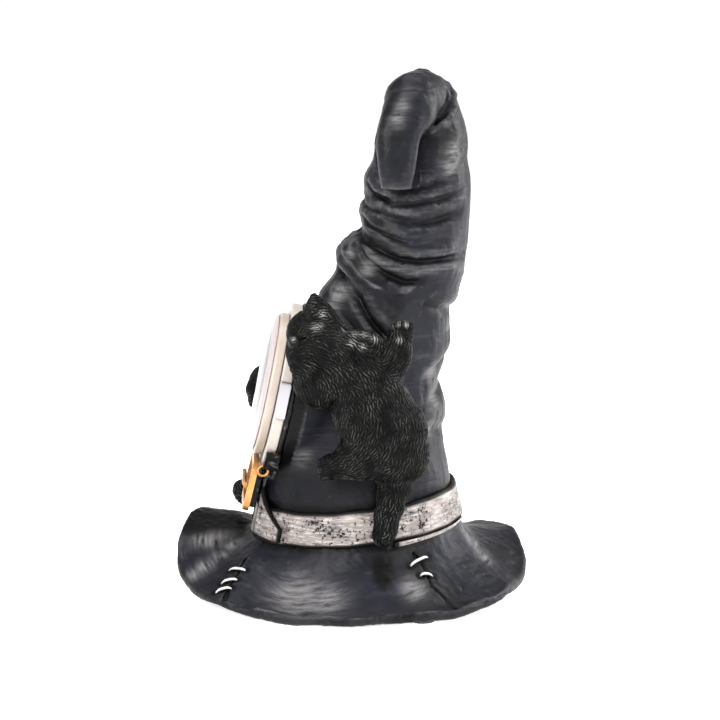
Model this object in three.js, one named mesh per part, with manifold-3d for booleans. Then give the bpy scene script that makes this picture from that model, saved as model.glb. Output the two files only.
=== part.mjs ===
// A table clock in the form of a crooked witch's hat, with two cats climbing it and a round
// quartz clock insert that pushes into a socket on its front. Millimetres, +Z up. The origin is
// on the table, under the middle of the brim. The clock faces -Y.
import * as THREE from "three";
import { mergeVertices } from "three/addons/utils/BufferGeometryUtils.js";
import Module from "manifold-3d";

const wasm = await Module();
wasm.setup();

// ---------------------------------------------------------------- driving dimensions
const GAP = 0.3; // between pieces that rest on each other
const AROUND = 40; // facets round the hat
const RING = 40; // facets round the clock's rings

const FEET = [[52, 24], [52, -24], [-52, 24], [-52, -24]];
const FOOT_R = 4.5;
const WALL = 4.2; // resin wall of the cone
const BRIM_THICK = 3;
const BRIM_ROOT_Z = 22;
const BRIM_LOW_Z = 1.2; // underside of the brim where it comes down to the table

// Level sections of the cone: height, front edge (y), back edge (y), half width (x).
const TRUNK = [
  [22, -39.5, 44.5, 40.5],
  [30, -37.5, 43, 38.8],
  [42, -35, 40, 36.3],
  [52, -32.5, 37, 34.5],
  [59, -31, 35.2, 33.3],
  [69, -28.5, 35.6, 32],
  [85, -24.5, 33.6, 30.2],
  [97, -20.5, 38, 29],
  [107, -16, 37.5, 27.5],
  [116, -12.5, 40.5, 26.2],
  [126, -9, 44.5, 25.2],
  [133, -7.6, 45, 24.4],
  [141, -2, 45.2, 23],
  [149, 4.2, 45.6, 21.5],
  [158, 5, 46.6, 20.6],
  [166, 6.2, 46.8, 19.6],
  [176, 8.8, 44.8, 18.3],
  [186, 10, 43.6, 16.6],
  [195, 13, 41.2, 14.2],
  [201, 17, 38, 10.8],
  [204.5, 21.5, 34, 6.6],
];
const TRUNK_TOP = [0, 28, 206];

// The drooping tip: points on its middle line and its radius at each.
const CURL = [
  [-1, 27.9, 188, 13.5],
  [4, 27.2, 195, 11.2],
  [12, 25.6, 196.4, 9.6],
  [19.5, 22.5, 191.5, 8.4],
  [24.5, 19.8, 183, 7.4],
  [26.5, 17.4, 173, 6.5],
  [26.5, 16, 164, 5.6],
];

const BELT = { mid: 33.4, rise: 3.8, height: 13.4, thick: 1.7 };

const CLOCK = { y: -34.7, z: 83.5, tilt: 12 }; // middle of the bezel's front edge, and its lean back
const BEZEL_R = 28.5;
const BEZEL_DEEP = 3.6;
const CASE = { r: 25, wall: 1.2, back: -21 };
const SLEEVE = { rIn: 26.1, rOut: 29.1, front: -4.2, back: -20.5 };
const COLLAR = { rIn: 29.4, rOut: 33, front: -4.2, back: -8.4, notchHalf: 7.2 };
const TRIM = { rIn: 29.4, rOut: 33.8, front: -8.7, back: -10.3 };
const BOSS = { r: 33.8, front: -10.6, straight: -16, back: -36, lip: -25, lipR: 24 };

// ---------------------------------------------------------------- shape helpers
const rad = THREE.MathUtils.degToRad;
const colour = (hex, roughness, metalness = 0) =>
  new THREE.MeshStandardMaterial({ color: hex, roughness, metalness });
const RESIN = colour(0x2c2c30, 0.5);
const FUR = colour(0x141413, 0.55);
const SILVER = colour(0xb9aca4, 0.5, 0.2);
const BLACK = colour(0x0d0d0d, 0.4);
const GOLD = colour(0xd99a52, 0.35, 0.8);
const THREAD = colour(0xdfdedb, 0.5);
const IVORY = colour(0xe8dcd4, 0.3);
const TAN = colour(0xcdbcae, 0.35);
const WHITE = colour(0xe9e6ea, 0.35);
const RUBBER = colour(0x3a353b, 0.8);
const CLEAR = new THREE.MeshStandardMaterial({
  color: 0xffffff, roughness: 0.05, transparent: true, opacity: 0.35,
});
const PLASTIC = colour(0x3b3d40, 0.6);
const BRASS = colour(0xc9a24a, 0.3, 1);
const STEEL = colour(0xb4b8bc, 0.3, 1);
const COPPER = colour(0xb8683a, 0.35, 1);
const BOARD = colour(0x2f6b3d, 0.5);

function solid(geometry) {
  const bare = geometry.clone();
  bare.deleteAttribute("normal");
  bare.deleteAttribute("uv");
  const merged = mergeVertices(bare, 1e-4);
  return new wasm.Manifold(
    new wasm.Mesh({
      numProp: 3,
      vertProperties: merged.attributes.position.array,
      triVerts: new Uint32Array(merged.index.array),
    }),
  );
}

function geometryOf(made) {
  const mesh = made.getMesh();
  const geometry = new THREE.BufferGeometry();
  geometry.setAttribute("position", new THREE.BufferAttribute(mesh.vertProperties, 3));
  geometry.setIndex(new THREE.BufferAttribute(mesh.triVerts, 1));
  return geometry;
}

const join = (geometries) => geometryOf(geometries.map(solid).reduce((a, b) => a.add(b)));
const cut = (body, tools) =>
  geometryOf(tools.map(solid).reduce((a, b) => a.subtract(b), solid(body)));

// A solid turned about +Z. The profile's points are [radius, z], anticlockwise.
function turned(profile, facets = RING) {
  const points = profile.map(([r, z]) => new THREE.Vector2(r, z));
  if (profile.every(([r]) => r > 0)) points.push(points[0].clone());
  return new THREE.LatheGeometry(points, facets).rotateX(Math.PI / 2);
}
const disc = (r, z0, z1, facets) =>
  turned([[0, z0], [r, z0], [r, z1], [0, z1]], facets);
const tube = (rIn, rOut, z0, z1, facets) =>
  turned([[rIn, z0], [rOut, z0], [rOut, z1], [rIn, z1]], facets);
const block = (x, y, z, at = [0, 0, 0]) => new THREE.BoxGeometry(x, y, z).translate(...at);

function plate(points, z0, z1, holes = []) {
  const shape = new THREE.Shape(points.map(([x, y]) => new THREE.Vector2(x, y)));
  shape.holes.push(...holes);
  const depth = z1 - z0;
  return new THREE.ExtrudeGeometry(shape, { depth, bevelEnabled: false }).translate(0, 0, z0);
}

// A closed surface through rings that all have the same number of points.
function lofted(rings, startPole, endPole) {
  const count = rings[0].length;
  const position = rings.flat(2);
  const index = [];
  for (let k = 0; k + 1 < rings.length; k++) {
    for (let i = 0; i < count; i++) {
      const j = (i + 1) % count;
      const [a, b, c, d] = [k * count + i, k * count + j, (k + 1) * count + j, (k + 1) * count + i];
      index.push(a, d, b, b, d, c);
    }
  }
  const last = (rings.length - 1) * count;
  const poles = [startPole, endPole];
  position.push(...poles.flat());
  const first = rings.length * count;
  for (let i = 0; i < count; i++) {
    const j = (i + 1) % count;
    index.push(first, i, j);
    index.push(first + 1, last + j, last + i);
  }
  const geometry = new THREE.BufferGeometry();
  geometry.setAttribute("position", new THREE.Float32BufferAttribute(position, 3));
  geometry.setIndex(index);
  return geometry;
}

// A closed ring or strip: sections (lists of points) joined one after another.
function swept(sections, closed) {
  const count = sections[0].length;
  const position = sections.flat(2);
  const index = [];
  const steps = closed ? sections.length : sections.length - 1;
  for (let k = 0; k < steps; k++) {
    const next = (k + 1) % sections.length;
    for (let i = 0; i < count; i++) {
      const j = (i + 1) % count;
      const [a, b, c, d] = [k * count + i, k * count + j, next * count + j, next * count + i];
      index.push(a, b, d, b, c, d);
    }
  }
  if (!closed) {
    const end = (sections.length - 1) * count;
    for (let i = 1; i + 1 < count; i++) {
      index.push(0, i + 1, i);
      index.push(end, end + i, end + i + 1);
    }
  }
  const geometry = new THREE.BufferGeometry();
  geometry.setAttribute("position", new THREE.Float32BufferAttribute(position, 3));
  geometry.setIndex(index);
  return geometry;
}

// ---------------------------------------------------------------- the hat's surface
function section(z) {
  const above = Math.max(1, TRUNK.findIndex((row) => row[0] >= z));
  const [a, b] = [TRUNK[above - 1], TRUNK[above]];
  const t = THREE.MathUtils.clamp((z - a[0]) / (b[0] - a[0]), 0, 1);
  return a.map((value, i) => THREE.MathUtils.lerp(value, b[i], t));
}

// A point on the cone at an angle from +X, at a height, pushed out by some distance.
function onCone(angle, z, out = 0) {
  const [, front, back, half] = section(z);
  return [
    (half + out) * Math.cos(angle),
    (front + back) / 2 + ((back - front) / 2 + out) * Math.sin(angle),
    z,
  ];
}

const angleGap = (a, b) => Math.abs(THREE.MathUtils.euclideanModulo(a - b + Math.PI, 2 * Math.PI) - Math.PI);
const hump = (angle, middle, width) => {
  const share = angleGap(angle, rad(middle)) / rad(width);
  return share < 1 ? Math.cos((share * Math.PI) / 2) ** 2 : 0;
};
const edgeZ = (a) => BRIM_LOW_Z + 23 * hump(a, -110, 50) + 15 * hump(a, 112, 48);
const edgeR = (a) => 65 - 4 * Math.cos(2 * a) + 0.9 * Math.cos(6 * a + 1.2);

// A point on top of the brim: share 0 at the cone, 1 at the edge.
function onBrim(angle, share, down = 0) {
  const root = onCone(angle, BRIM_ROOT_Z);
  const edge = [edgeR(angle) * Math.cos(angle), edgeR(angle) * Math.sin(angle)];
  const top = edgeZ(angle) + BRIM_THICK;
  return [
    THREE.MathUtils.lerp(root[0], edge[0], share),
    THREE.MathUtils.lerp(root[1], edge[1], share),
    top + (BRIM_ROOT_Z - top) * (1 - share) ** 1.35 - down,
  ];
}

const ANGLES = Array.from({ length: AROUND }, (_, i) => (i / AROUND) * 2 * Math.PI);
const ringOf = (point) => ANGLES.map(point);

function hatShell() {
  const outside = TRUNK.map(([z]) => ringOf((a) => onCone(a, z))).reverse();
  const brim = [0.25, 0.5, 0.75, 1].map((s) => ringOf((a) => onBrim(a, s)));
  const under = [1, 0.7, 0.35].map((s) => ringOf((a) => onBrim(a, s, BRIM_THICK)));
  const inside = [18, 40, 60, 85, 105].map((z) =>
    ringOf((a) => onCone(a, z, -WALL)).map(([x, y]) => [x, y, z - (z < 20 ? 4 : 0)]),
  );
  const shell = lofted([...outside, ...brim, ...under, ...inside], TRUNK_TOP, [0, 12, 112]);
  const line = new THREE.CatmullRomCurve3(CURL.map(([x, y, z]) => new THREE.Vector3(x, y, z)));
  const steps = 11;
  const rings = [];
  const frames = line.computeFrenetFrames(steps);
  for (let k = 0; k <= steps; k++) {
    const t = k / steps;
    const at = line.getPoint(t);
    const row = Math.min(CURL.length - 2, Math.floor(t * (CURL.length - 1)));
    const r = THREE.MathUtils.lerp(CURL[row][3], CURL[row + 1][3], t * (CURL.length - 1) - row);
    const ring = [];
    for (let i = 0; i < 12; i++) {
      const a = (i / 12) * 2 * Math.PI;
      const p = at.clone().addScaledVector(frames.normals[k], r * Math.cos(a));
      ring.push(p.addScaledVector(frames.binormals[k], r * Math.sin(a)).toArray());
    }
    rings.push(ring.reverse());
  }
  const end = line.getPoint(1).addScaledVector(line.getTangent(1), 1.6);
  const curl = lofted(rings, line.getPoint(0).toArray(), end.toArray());
  const boss = inClock(turned([
    [0, BOSS.back], [BOSS.lipR + 1.5, BOSS.back], [BOSS.r, BOSS.straight], [BOSS.r, BOSS.front],
    [0, BOSS.front],
  ]));
  const bore = inClock(turned([
    [0, BOSS.back - 4], [BOSS.lipR, BOSS.back - 4], [BOSS.lipR, BOSS.lip], [COLLAR.rIn, BOSS.lip],
    [COLLAR.rIn, BOSS.front], [BOSS.r + 3, BOSS.front], [BOSS.r + 3, 12], [0, 12],
  ]));
  return geometryOf(solid(shell).add(solid(curl)).add(solid(boss)).subtract(solid(bore)));
}

// Moves a geometry from the clock's own frame (+Z out of its face) into the hat's.
function inClock(geometry) {
  return geometry.rotateX(rad(90 - CLOCK.tilt)).translate(0, CLOCK.y, CLOCK.z);
}

// ---------------------------------------------------------------- belt and buckle
const beltMid = (a) => BELT.mid + BELT.rise * Math.sin(a);

// A strip that follows the cone between two angles, low and high edges given by functions.
function wrapped(from, to, steps, low, high, inner, outer, closed = false) {
  const sections = [];
  const count = closed ? steps : steps + 1;
  for (let k = 0; k < count; k++) {
    const a = from + ((to - from) * k) / steps;
    const [z0, z1] = [low(a), high(a)];
    sections.push([
      onCone(a, z0, inner), onCone(a, z1, inner), onCone(a, z1, outer), onCone(a, z0, outer),
    ]);
  }
  return swept(sections, closed);
}

const belt = () =>
  wrapped(0, 2 * Math.PI, AROUND, (a) => beltMid(a) - BELT.height / 2,
    (a) => beltMid(a) + BELT.height / 2, 0.5, 0.5 + BELT.thick, true);

const FLARE = { from: -73, to: -48, low: 24.5, tall: 43.5, short: 30 };
const flareTop = (a) => {
  const share = (a - rad(FLARE.from)) / (rad(FLARE.to) - rad(FLARE.from));
  return THREE.MathUtils.lerp(FLARE.tall, FLARE.short, share);
};
const FLARE_IN = 0.5 + BELT.thick + GAP;
const flare = () =>
  wrapped(rad(FLARE.from), rad(FLARE.to), 8, () => FLARE.low, flareTop, FLARE_IN, FLARE_IN + 1.6);

function mirrored(geometry) {
  const flipped = geometry.clone().scale(-1, 1, 1);
  const order = Array.from(flipped.index.array);
  for (let i = 0; i < order.length; i += 3) [order[i], order[i + 1]] = [order[i + 1], order[i]];
  return flipped.setIndex(order);
}

const BUCKLE = { y: -39.7, z: 44.1, tilt: 14, width: 30, height: 20.4, bar: 2.7, deep: 2.4 };
function roundedRect(width, height, corner, Kind = THREE.Shape) {
  const [x, y] = [width / 2, height / 2];
  const path = new Kind();
  path.moveTo(x - corner, -y);
  path.absarc(x - corner, -y + corner, corner, -Math.PI / 2, 0);
  path.absarc(x - corner, y - corner, corner, 0, Math.PI / 2);
  path.absarc(-x + corner, y - corner, corner, Math.PI / 2, Math.PI);
  path.absarc(-x + corner, -y + corner, corner, Math.PI, 1.5 * Math.PI);
  return path;
}
function frameRing(width, height, bar, deep) {
  const shape = roundedRect(width, height, 3);
  shape.holes.push(roundedRect(width - 2 * bar, height - 2 * bar, 1.4, THREE.Path));
  return new THREE.ExtrudeGeometry(shape, { depth: deep, bevelEnabled: false, curveSegments: 4 });
}
const inBuckle = (geometry) =>
  geometry.rotateX(rad(90 - BUCKLE.tilt)).translate(0, BUCKLE.y, BUCKLE.z);
const buckleFrame = () => inBuckle(frameRing(BUCKLE.width, BUCKLE.height, BUCKLE.bar, BUCKLE.deep));
const bucklePad = () =>
  inBuckle(plate([[-10.4, -9], [10.4, -9], [10.4, 3.4], [-10.4, 3.4]], -2.4, -0.3));
function bucklePin() {
  const line = [[-12.2, 0, 3.7], [-6, -0.6, 3.6], [0, -1, 3.6], [6, -0.6, 3.8], [12.6, 0, 3.6]];
  return inBuckle(new THREE.ExtrudeGeometry(new THREE.Shape().absarc(0, 0, 0.95, 0, 2 * Math.PI), {
    extrudePath: new THREE.CatmullRomCurve3(line.map((p) => new THREE.Vector3(...p))),
    steps: 10, curveSegments: 4,
  }));
}

// ---------------------------------------------------------------- cats
// Each row is one rounded mass: middle, half sizes, and turns about X, Y and Z in degrees.
const CLIMBING_CAT = [
  [[39, -18.5, 106.5], [9, 9.2, 9.5], [-20, 0, 0]], // head
  [[42, -23.8, 102.8], [5, 4.6, 4.8], [0, 0, 0]], // muzzle
  [[40.5, -15.5, 117], [3.2, 4.2, 6.4], [0, 0, 0]], // near ear
  [[33.5, -10.8, 115], [3.2, 3.6, 4.6], [12, 0, 0]], // far ear
  [[37, -7.1, 99], [11, 13, 12], [35, 0, 0]], // neck
  [[37, -12.1, 88.5], [9, 8.5, 10.5], [15, 0, 0]], // chest
  [[36.5, 3.9, 86], [11.5, 16, 17], [25, 0, 0]], // shoulders
  [[37.5, 8, 72], [12, 18.5, 19], [8, 0, 0]], // belly and back
  [[37, 12.9, 60.5], [11.5, 15.5, 12], [0, 0, 0]], // rump
  [[40.5, -0.9, 60.5], [8.5, 10, 9.5], [0, 0, 0]], // near thigh
  [[39.5, -10.7, 57.6], [5, 4.4, 5.2], [0, 0, 0]], // near hind foot
  [[36, 13.9, 96], [6.2, 7.5, 10], [-28, 0, 0]], // near upper arm
  [[33.5, 16.5, 106.5], [5.4, 5.2, 6.6], [0, 0, 0]], // near fore paw
  [[35, -18.2, 92], [6, 5.6, 7], [0, 0, 0]], // far arm, reaching to the clock
  [[38, 14.5, 50], [6, 7.5, 8.5], [14, 0, 0]], // root of the tail
  [[40, 11.1, 40], [4.6, 5.6, 9.5], [8, 0, 0]], // tail, over the belt
  [[41, 9.5, 31.6], [4.2, 5, 5.5], [0, 0, 0]], // tip of the tail
];
const PEEKING_CAT = [
  [[-37, -33.4, 76], [8.6, 8.8, 9], [10, 0, 0]], // head
  [[-35.5, -39.9, 74], [4.4, 4.2, 4], [0, 0, 0]], // muzzle
  [[-32.5, -31.7, 85.5], [2.8, 2.8, 4.2], [0, 0, 0]], // inner ear
  [[-42.5, -30.2, 84.5], [2.8, 2.8, 4.2], [0, 0, 0]], // outer ear
  [[-37.5, -26.5, 66.5], [8.4, 9, 10], [25, 0, 0]], // neck and chest
  [[-38.5, -21, 56], [10, 11.5, 13], [12, 0, 0]], // body
  [[-39, -19, 45.5], [10.5, 12, 10], [0, 0, 0]], // rump
  [[-41.5, -28.7, 43], [6, 7, 7.5], [0, 0, 0]], // thigh
  [[-39.5, -35.1, 38.5], [4.2, 5, 3.8], [0, 0, 0]], // hind foot
  [[-33.8, -34.8, 63], [4, 4.6, 6.5], [35, 0, 0]], // arm to the clock
  [[-36, -17.9, 79.5], [4.6, 4.6, 7], [-20, 0, 0]], // far arm, up the hat
  [[-35, -32.8, 33.5], [4.6, 7, 4.4], [25, 0, 25]], // tail, over the belt
  [[-25.5, -42.8, 32.5], [8, 4.4, 5.8], [0, 10, 38]], // tail, round the front
];
function cat(masses, clear) {
  const lumps = masses.map(([at, half, turn]) => {
    const turning = new THREE.Euler(...turn.map(rad));
    const place = new THREE.Matrix4().compose(
      new THREE.Vector3(...at), new THREE.Quaternion().setFromEuler(turning), new THREE.Vector3(...half));
    return solid(new THREE.SphereGeometry(1, 10, 7).rotateX(Math.PI / 2).applyMatrix4(place));
  });
  const body = lumps.reduce((a, b) => a.add(b));
  const pieces = clear.map(solid).reduce((a, b) => a.subtract(b), body).decompose();
  return geometryOf(pieces.sort((a, b) => b.volume() - a.volume())[0]);
}

// What the cats lie on, let out by the gap.
function perch() {
  const rings = [22, 30, 42, 52, 59, 69, 85, 97, 107, 116, 126, 133].reverse();
  const cone = rings.map((z) => ringOf((a) => onCone(a, z, GAP)));
  const brim = [0.25, 0.5, 0.75, 1].map((s) => ringOf((a) => onBrim(a, s, -GAP)));
  const hat = lofted([...cone, ...brim], [0, 20, 134], [0, 2, -20]);
  const strap = wrapped(0, 2 * Math.PI, AROUND, (a) => beltMid(a) - BELT.height / 2 - GAP,
    (a) => beltMid(a) + BELT.height / 2 + GAP, -1, 0.5 + BELT.thick + GAP, true);
  const clock = inClock(disc(TAB.rOut + GAP, BOSS.straight - 1, 12));
  const taper = inClock(turned([
    [0, BOSS.back], [BOSS.lipR + 1.8, BOSS.back], [BOSS.r + GAP, BOSS.straight], [0, BOSS.straight],
  ]));
  return [hat, strap, clock, taper];
}

// ---------------------------------------------------------------- stitches and feet
// Both ends of each stitch on the brim: angle and share of the way out, twice.
const STITCHES = [
  [-63.5, 0.56, -55, 0.46],
  [-59.5, 0.76, -54.5, 0.62],
  [-57, 0.9, -53.5, 0.76],
  [26.5, 0.14, 38.5, 0.06],
  [29.5, 0.28, 36, 0.3],
  [150, 0.35, 159, 0.4],
  [148.5, 0.56, 156.5, 0.62],
  [214, 0.3, 222, 0.42],
  [215.5, 0.5, 222.5, 0.6],
  [217, 0.7, 223, 0.8],
];
const STITCH = { r: 0.62, arch: 0.9 };
function stitch([angle0, share0, angle1, share1]) {
  const ends = [onBrim(rad(angle0), share0), onBrim(rad(angle1), share1)];
  const points = [0, 0.5, 1].map((t) => {
    const on = onBrim(rad(THREE.MathUtils.lerp(angle0, angle1, t)), THREE.MathUtils.lerp(share0, share1, t));
    const z = Math.max(on[2], THREE.MathUtils.lerp(ends[0][2], ends[1][2], t));
    return new THREE.Vector3(on[0], on[1], z + STITCH.r + 0.7 + 4 * STITCH.arch * t * (1 - t));
  });
  const section = new THREE.Shape().absarc(0, 0, STITCH.r, 0, 2 * Math.PI);
  return new THREE.ExtrudeGeometry(section, {
    extrudePath: new THREE.CatmullRomCurve3(points), steps: 4, curveSegments: 3,
  });
}
const footPad = (x, y) => disc(FOOT_R, 0, BRIM_LOW_Z - GAP, 16).translate(x, y, 0);

// ---------------------------------------------------------------- the clock insert
// All in the clock's own frame: +X right, +Y up the face, +Z out of it.
const MODULE = { second: 0.4, third: 0.3, centre: 0.28333, rotor: 0.3, motion: 0.36 };
const TEETH = {
  rotor: 6, intermediate: 36, intermediatePinion: 6, second: 30, secondPinion: 6,
  third: 45, thirdPinion: 6, centre: 48, cannon: 10, motion: 30, motionPinion: 8, hour: 32,
  knob: 10,
};
const CENTRE = [0, 0];
const POST = {
  third: [-4.95, -5.833], // 7.65 from the middle
  intermediate: [6.6, 2.877], // 7.2 from the middle
  rotor: [8.012, -3.263], // 6.3 from the intermediate wheel
  motion: [-4.4, 5.699], // 7.2 from the middle
  knob: [2.4, 8.068], // 7.2 from the motion wheel
};
const LAYER = { // low z and thickness of each wheel
  hour: [-6.7, 0.7], motion: [-7.8, 0.7], centre: [-8.9, 0.6], third: [-9.9, 0.6],
  second: [-10.9, 0.6], rotor: [-11.9, 0.6],
};
const DIAL = { r: 23.4, back: -3.95, front: -3.35 };
const HAND_Z = { hour: -2.75, minute: -1.8, second: -0.85, thick: 0.35 };
const BOX = { r: 16.4, front: -4.25, back: -13.4, wall: 1.1 };
const CELL = { at: [-8.5, -6], r: 5.8, front: -14, back: -19.4 };
const DOOR_R = 7;
const COIL = { x: 4.3, y: -11.2, z: -11.35, r: 1.15, length: 6 };
const SLIM = 0.8; // the pinions' teeth are slimmer than the wheels'

// A gear's outline: straight-flanked teeth with play between them.
function gearPoints(teeth, module, slim) {
  const pitch = (module * teeth) / 2;
  const [tip, bottom] = [pitch + 0.72 * module, pitch - module];
  const step = Math.PI / teeth;
  const [wide, narrow] = [0.6 * slim * step, 0.2 * slim * step];
  const points = [];
  for (let k = 0; k < teeth; k++) {
    for (const [r, turn] of [[bottom, -wide], [tip, -narrow], [tip, narrow], [bottom, wide]]) {
      const a = 2 * k * step + turn;
      points.push([r * Math.cos(a), r * Math.sin(a)]);
    }
  }
  return points;
}

function gear(teeth, module, [z, thick], { hole = 0, slim = 1, at = CENTRE, turn = 0 } = {}) {
  const holes = hole ? [new THREE.Path().absarc(0, 0, hole, 0, 2 * Math.PI)] : [];
  return placed(plate(gearPoints(teeth, module, slim), z, z + thick, holes), at, turn);
}
const placed = (geometry, [x, y], turn = 0) => geometry.rotateZ(turn).translate(x, y, 0);
const arbor = (r, z0, z1, at) => placed(disc(r, z0, z1, 12), at);

// How far to turn a gear so that a gap of its own meets the neighbour's tooth.
function meshTurn(from, fromTeeth, fromTurn, to, toTeeth) {
  const way = Math.atan2(to[1] - from[1], to[0] - from[0]);
  const share = THREE.MathUtils.euclideanModulo(((way - fromTurn) * fromTeeth) / (2 * Math.PI), 1);
  return way + Math.PI + ((2 * Math.PI) / toTeeth) * (share + 0.5);
}

function secondWheel() {
  return join([
    gear(TEETH.second, MODULE.second, LAYER.second),
    gear(TEETH.secondPinion, MODULE.third, [LAYER.third[0] - 0.5, 1.1], { slim: SLIM }),
    arbor(0.42, -12.6, -0.4, CENTRE),
  ]);
}

function thirdWheel() {
  const at = POST.third;
  const turn = meshTurn(CENTRE, TEETH.secondPinion, 0, at, TEETH.third);
  const turnPinion = meshTurn(CENTRE, TEETH.centre, 0, at, TEETH.thirdPinion);
  return join([
    gear(TEETH.third, MODULE.third, LAYER.third, { at, turn }),
    gear(TEETH.thirdPinion, MODULE.centre, [LAYER.centre[0] - 0.5, 1.1], { at, turn: turnPinion, slim: SLIM }),
    arbor(0.35, -12.6, -5.6, at),
  ]);
}

const centreWheel = () => gear(TEETH.centre, MODULE.centre, LAYER.centre, { hole: 1.35 });

function intermediateWheel() {
  const at = POST.intermediate;
  const turn = meshTurn(CENTRE, TEETH.second, 0, at, TEETH.intermediatePinion);
  return join([
    gear(TEETH.intermediate, MODULE.rotor, LAYER.rotor, { at }),
    gear(TEETH.intermediatePinion, MODULE.second, [LAYER.second[0] - 0.5, 1.1], { at, turn, slim: SLIM }),
    arbor(0.35, -12.6, -9.4, at),
  ]);
}

function rotor() {
  const at = POST.rotor;
  const turn = meshTurn(POST.intermediate, TEETH.intermediate, 0, at, TEETH.rotor);
  return join([
    gear(TEETH.rotor, MODULE.rotor, [LAYER.rotor[0], 2], { at, turn, slim: SLIM }),
    placed(disc(1.8, -10.1, -9.3, 18), at),
    arbor(0.35, -12.6, -9.1, at),
  ]);
}

function cannonPinion() {
  return join([
    gear(TEETH.cannon, MODULE.motion, LAYER.motion, { hole: 0.62, slim: SLIM }),
    tube(0.62, 1.1, LAYER.centre[0] - 0.1, -1.35, 20),
  ]);
}

const motionTurn = meshTurn(CENTRE, TEETH.cannon, 0, POST.motion, TEETH.motion);
function motionWheel() {
  const at = POST.motion;
  const turnPinion = meshTurn(CENTRE, TEETH.hour, 0, at, TEETH.motionPinion);
  return join([
    gear(TEETH.motion, MODULE.motion, LAYER.motion, { at, turn: motionTurn }),
    gear(TEETH.motionPinion, MODULE.motion, [LAYER.hour[0] - 0.5, 1.2], { at, turn: turnPinion, slim: SLIM }),
    arbor(0.4, -8, -5.6, at),
  ]);
}

const hourWheel = () => join([
  gear(TEETH.hour, MODULE.motion, LAYER.hour, { hole: 1.3 }),
  tube(1.3, 1.85, LAYER.hour[0], -2.3, 20),
]);

function setKnob() {
  const at = POST.knob;
  const turn = meshTurn(POST.motion, TEETH.motion, motionTurn, at, TEETH.knob);
  return join([
    gear(TEETH.knob, MODULE.motion, LAYER.motion, { at, turn, slim: SLIM }),
    arbor(0.7, -21.8, -6.9, at),
    gear(14, 0.42, [-24.2, 2.8], { at, slim: 1.2 }),
  ]);
}

// A hand: an outline along its length, ringed round its hub. Angle is clockwise from the top.
function hand(outline, hub, hole, z, angle) {
  const both = [...outline, ...outline.slice().reverse().map(([x, y]) => [-x, y])];
  const blade = plate(both, z, z + HAND_Z.thick);
  const boss = disc(hub, z, z + HAND_Z.thick, 20);
  return cut(join([blade, boss]), [disc(hole, z - 1, z + 1, 20)]).rotateZ(-rad(angle));
}
const hourHand = () =>
  hand([[0.9, 0], [1.2, 5.5], [2.1, 8.2], [0.9, 10], [0.35, 13.2]], 2.9, 1.95, HAND_Z.hour, 305);
const minuteHand = () =>
  hand([[0.7, 0], [1, 7], [1.7, 11.5], [0.7, 14], [0.3, 19.2]], 2, 1.2, HAND_Z.minute, 50);
const secondHand = () =>
  hand([[0.8, -6], [0.3, -2.4], [0.22, 20.5]], 1.1, 0.52, HAND_Z.second, 180);

function clockCase() {
  const { r, wall, back } = CASE;
  const shell = turned([
    [0, back], [r, back], [r, -2], [r - wall, -2], [r - wall, back + wall], [0, back + wall],
  ], RING);
  return cut(shell, [
    placed(disc(1.1, back - 1, back + 3, 16), POST.knob),
    placed(disc(DOOR_R + 0.25, back - 1, back + 3, 28), CELL.at),
  ]);
}
const bezel = () => turned([
  [CASE.r + 0.3, -0.3 - BEZEL_DEEP], [BEZEL_R, -0.3 - BEZEL_DEEP], [BEZEL_R, -1.1],
  [BEZEL_R - 0.8, -0.3], [23.1, -0.3], [23.1, -1.7], [CASE.r + 0.3, -1.7],
], RING);
function lens() {
  const [edge, rise, thick] = [27.4, 3.4, 1.2];
  const bow = (edge * edge + rise * rise) / (2 * rise);
  const at = (r, lift) => rise - bow + Math.sqrt(bow * bow - r * r) - lift;
  const out = [edge, 22, 15, 8];
  return turned([
    [0, at(0, thick)], ...[8, 15, 21.5, 24.6].map((r) => [r, at(r, thick)]).filter(([, z]) => z > 0.02),
    [24.8, 0], ...out.map((r) => [r, at(r, 0)]), [0, rise],
  ], RING);
}
const dial = () => cut(disc(DIAL.r, DIAL.back, DIAL.front, RING), [disc(2.15, -9, 0, 20)]);
const movementCover = () =>
  cut(disc(BOX.r, BOX.front - BOX.wall, BOX.front, 40), [disc(2.15, -9, 0, 20)]);
function movementBox() {
  const cup = turned([
    [0, BOX.back], [BOX.r, BOX.back], [BOX.r, -5.65], [BOX.r - BOX.wall, -5.65],
    [BOX.r - BOX.wall, BOX.back + 0.7], [0, BOX.back + 0.7],
  ], 40);
  return cut(cup, [placed(disc(1, BOX.back - 1, BOX.back + 2, 12), POST.knob)]);
}
function stator() {
  const [x, y] = POST.rotor;
  const z = -9.68;
  const arms = [
    block(2, 7.4, 0.5, [x + 0.3, y - 5.2, z]),
    block(7.2, 1.6, 0.5, [COIL.x + 0.9, COIL.y + 0.2, z]),
    block(1.5, 5, 0.5, [x - 5.06, y - 6.14, z]),
    block(4.5, 1.5, 0.5, [x - 3.11, y - 3.34, z]),
  ];
  const bow = placed(disc(3.1, z - 0.25, z + 0.25, 20), POST.rotor);
  return cut(join([...arms, bow]), [placed(disc(2.1, -12, -5, 20), POST.rotor)]);
}
function coil() {
  const { x, y, z, r, length } = COIL;
  const wound = new THREE.CylinderGeometry(r, r, length, 14).rotateZ(Math.PI / 2).translate(x, y, z);
  return join([wound, ...[-1, 1].map((s) => block(0.5, 2.5, 2.4, [x + (s * length) / 2, y, z]))]);
}
const board = () => block(5.4, 5.4, 0.7, [-9.5, 5.4, -12.1]);
const crystal = () => new THREE.CylinderGeometry(0.7, 0.7, 4.4, 12).translate(-10.9, 5.4, -10.9);
const chip = () => block(2.2, 2.2, 0.9, [-8.6, 5.4, -11.15]);
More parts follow.
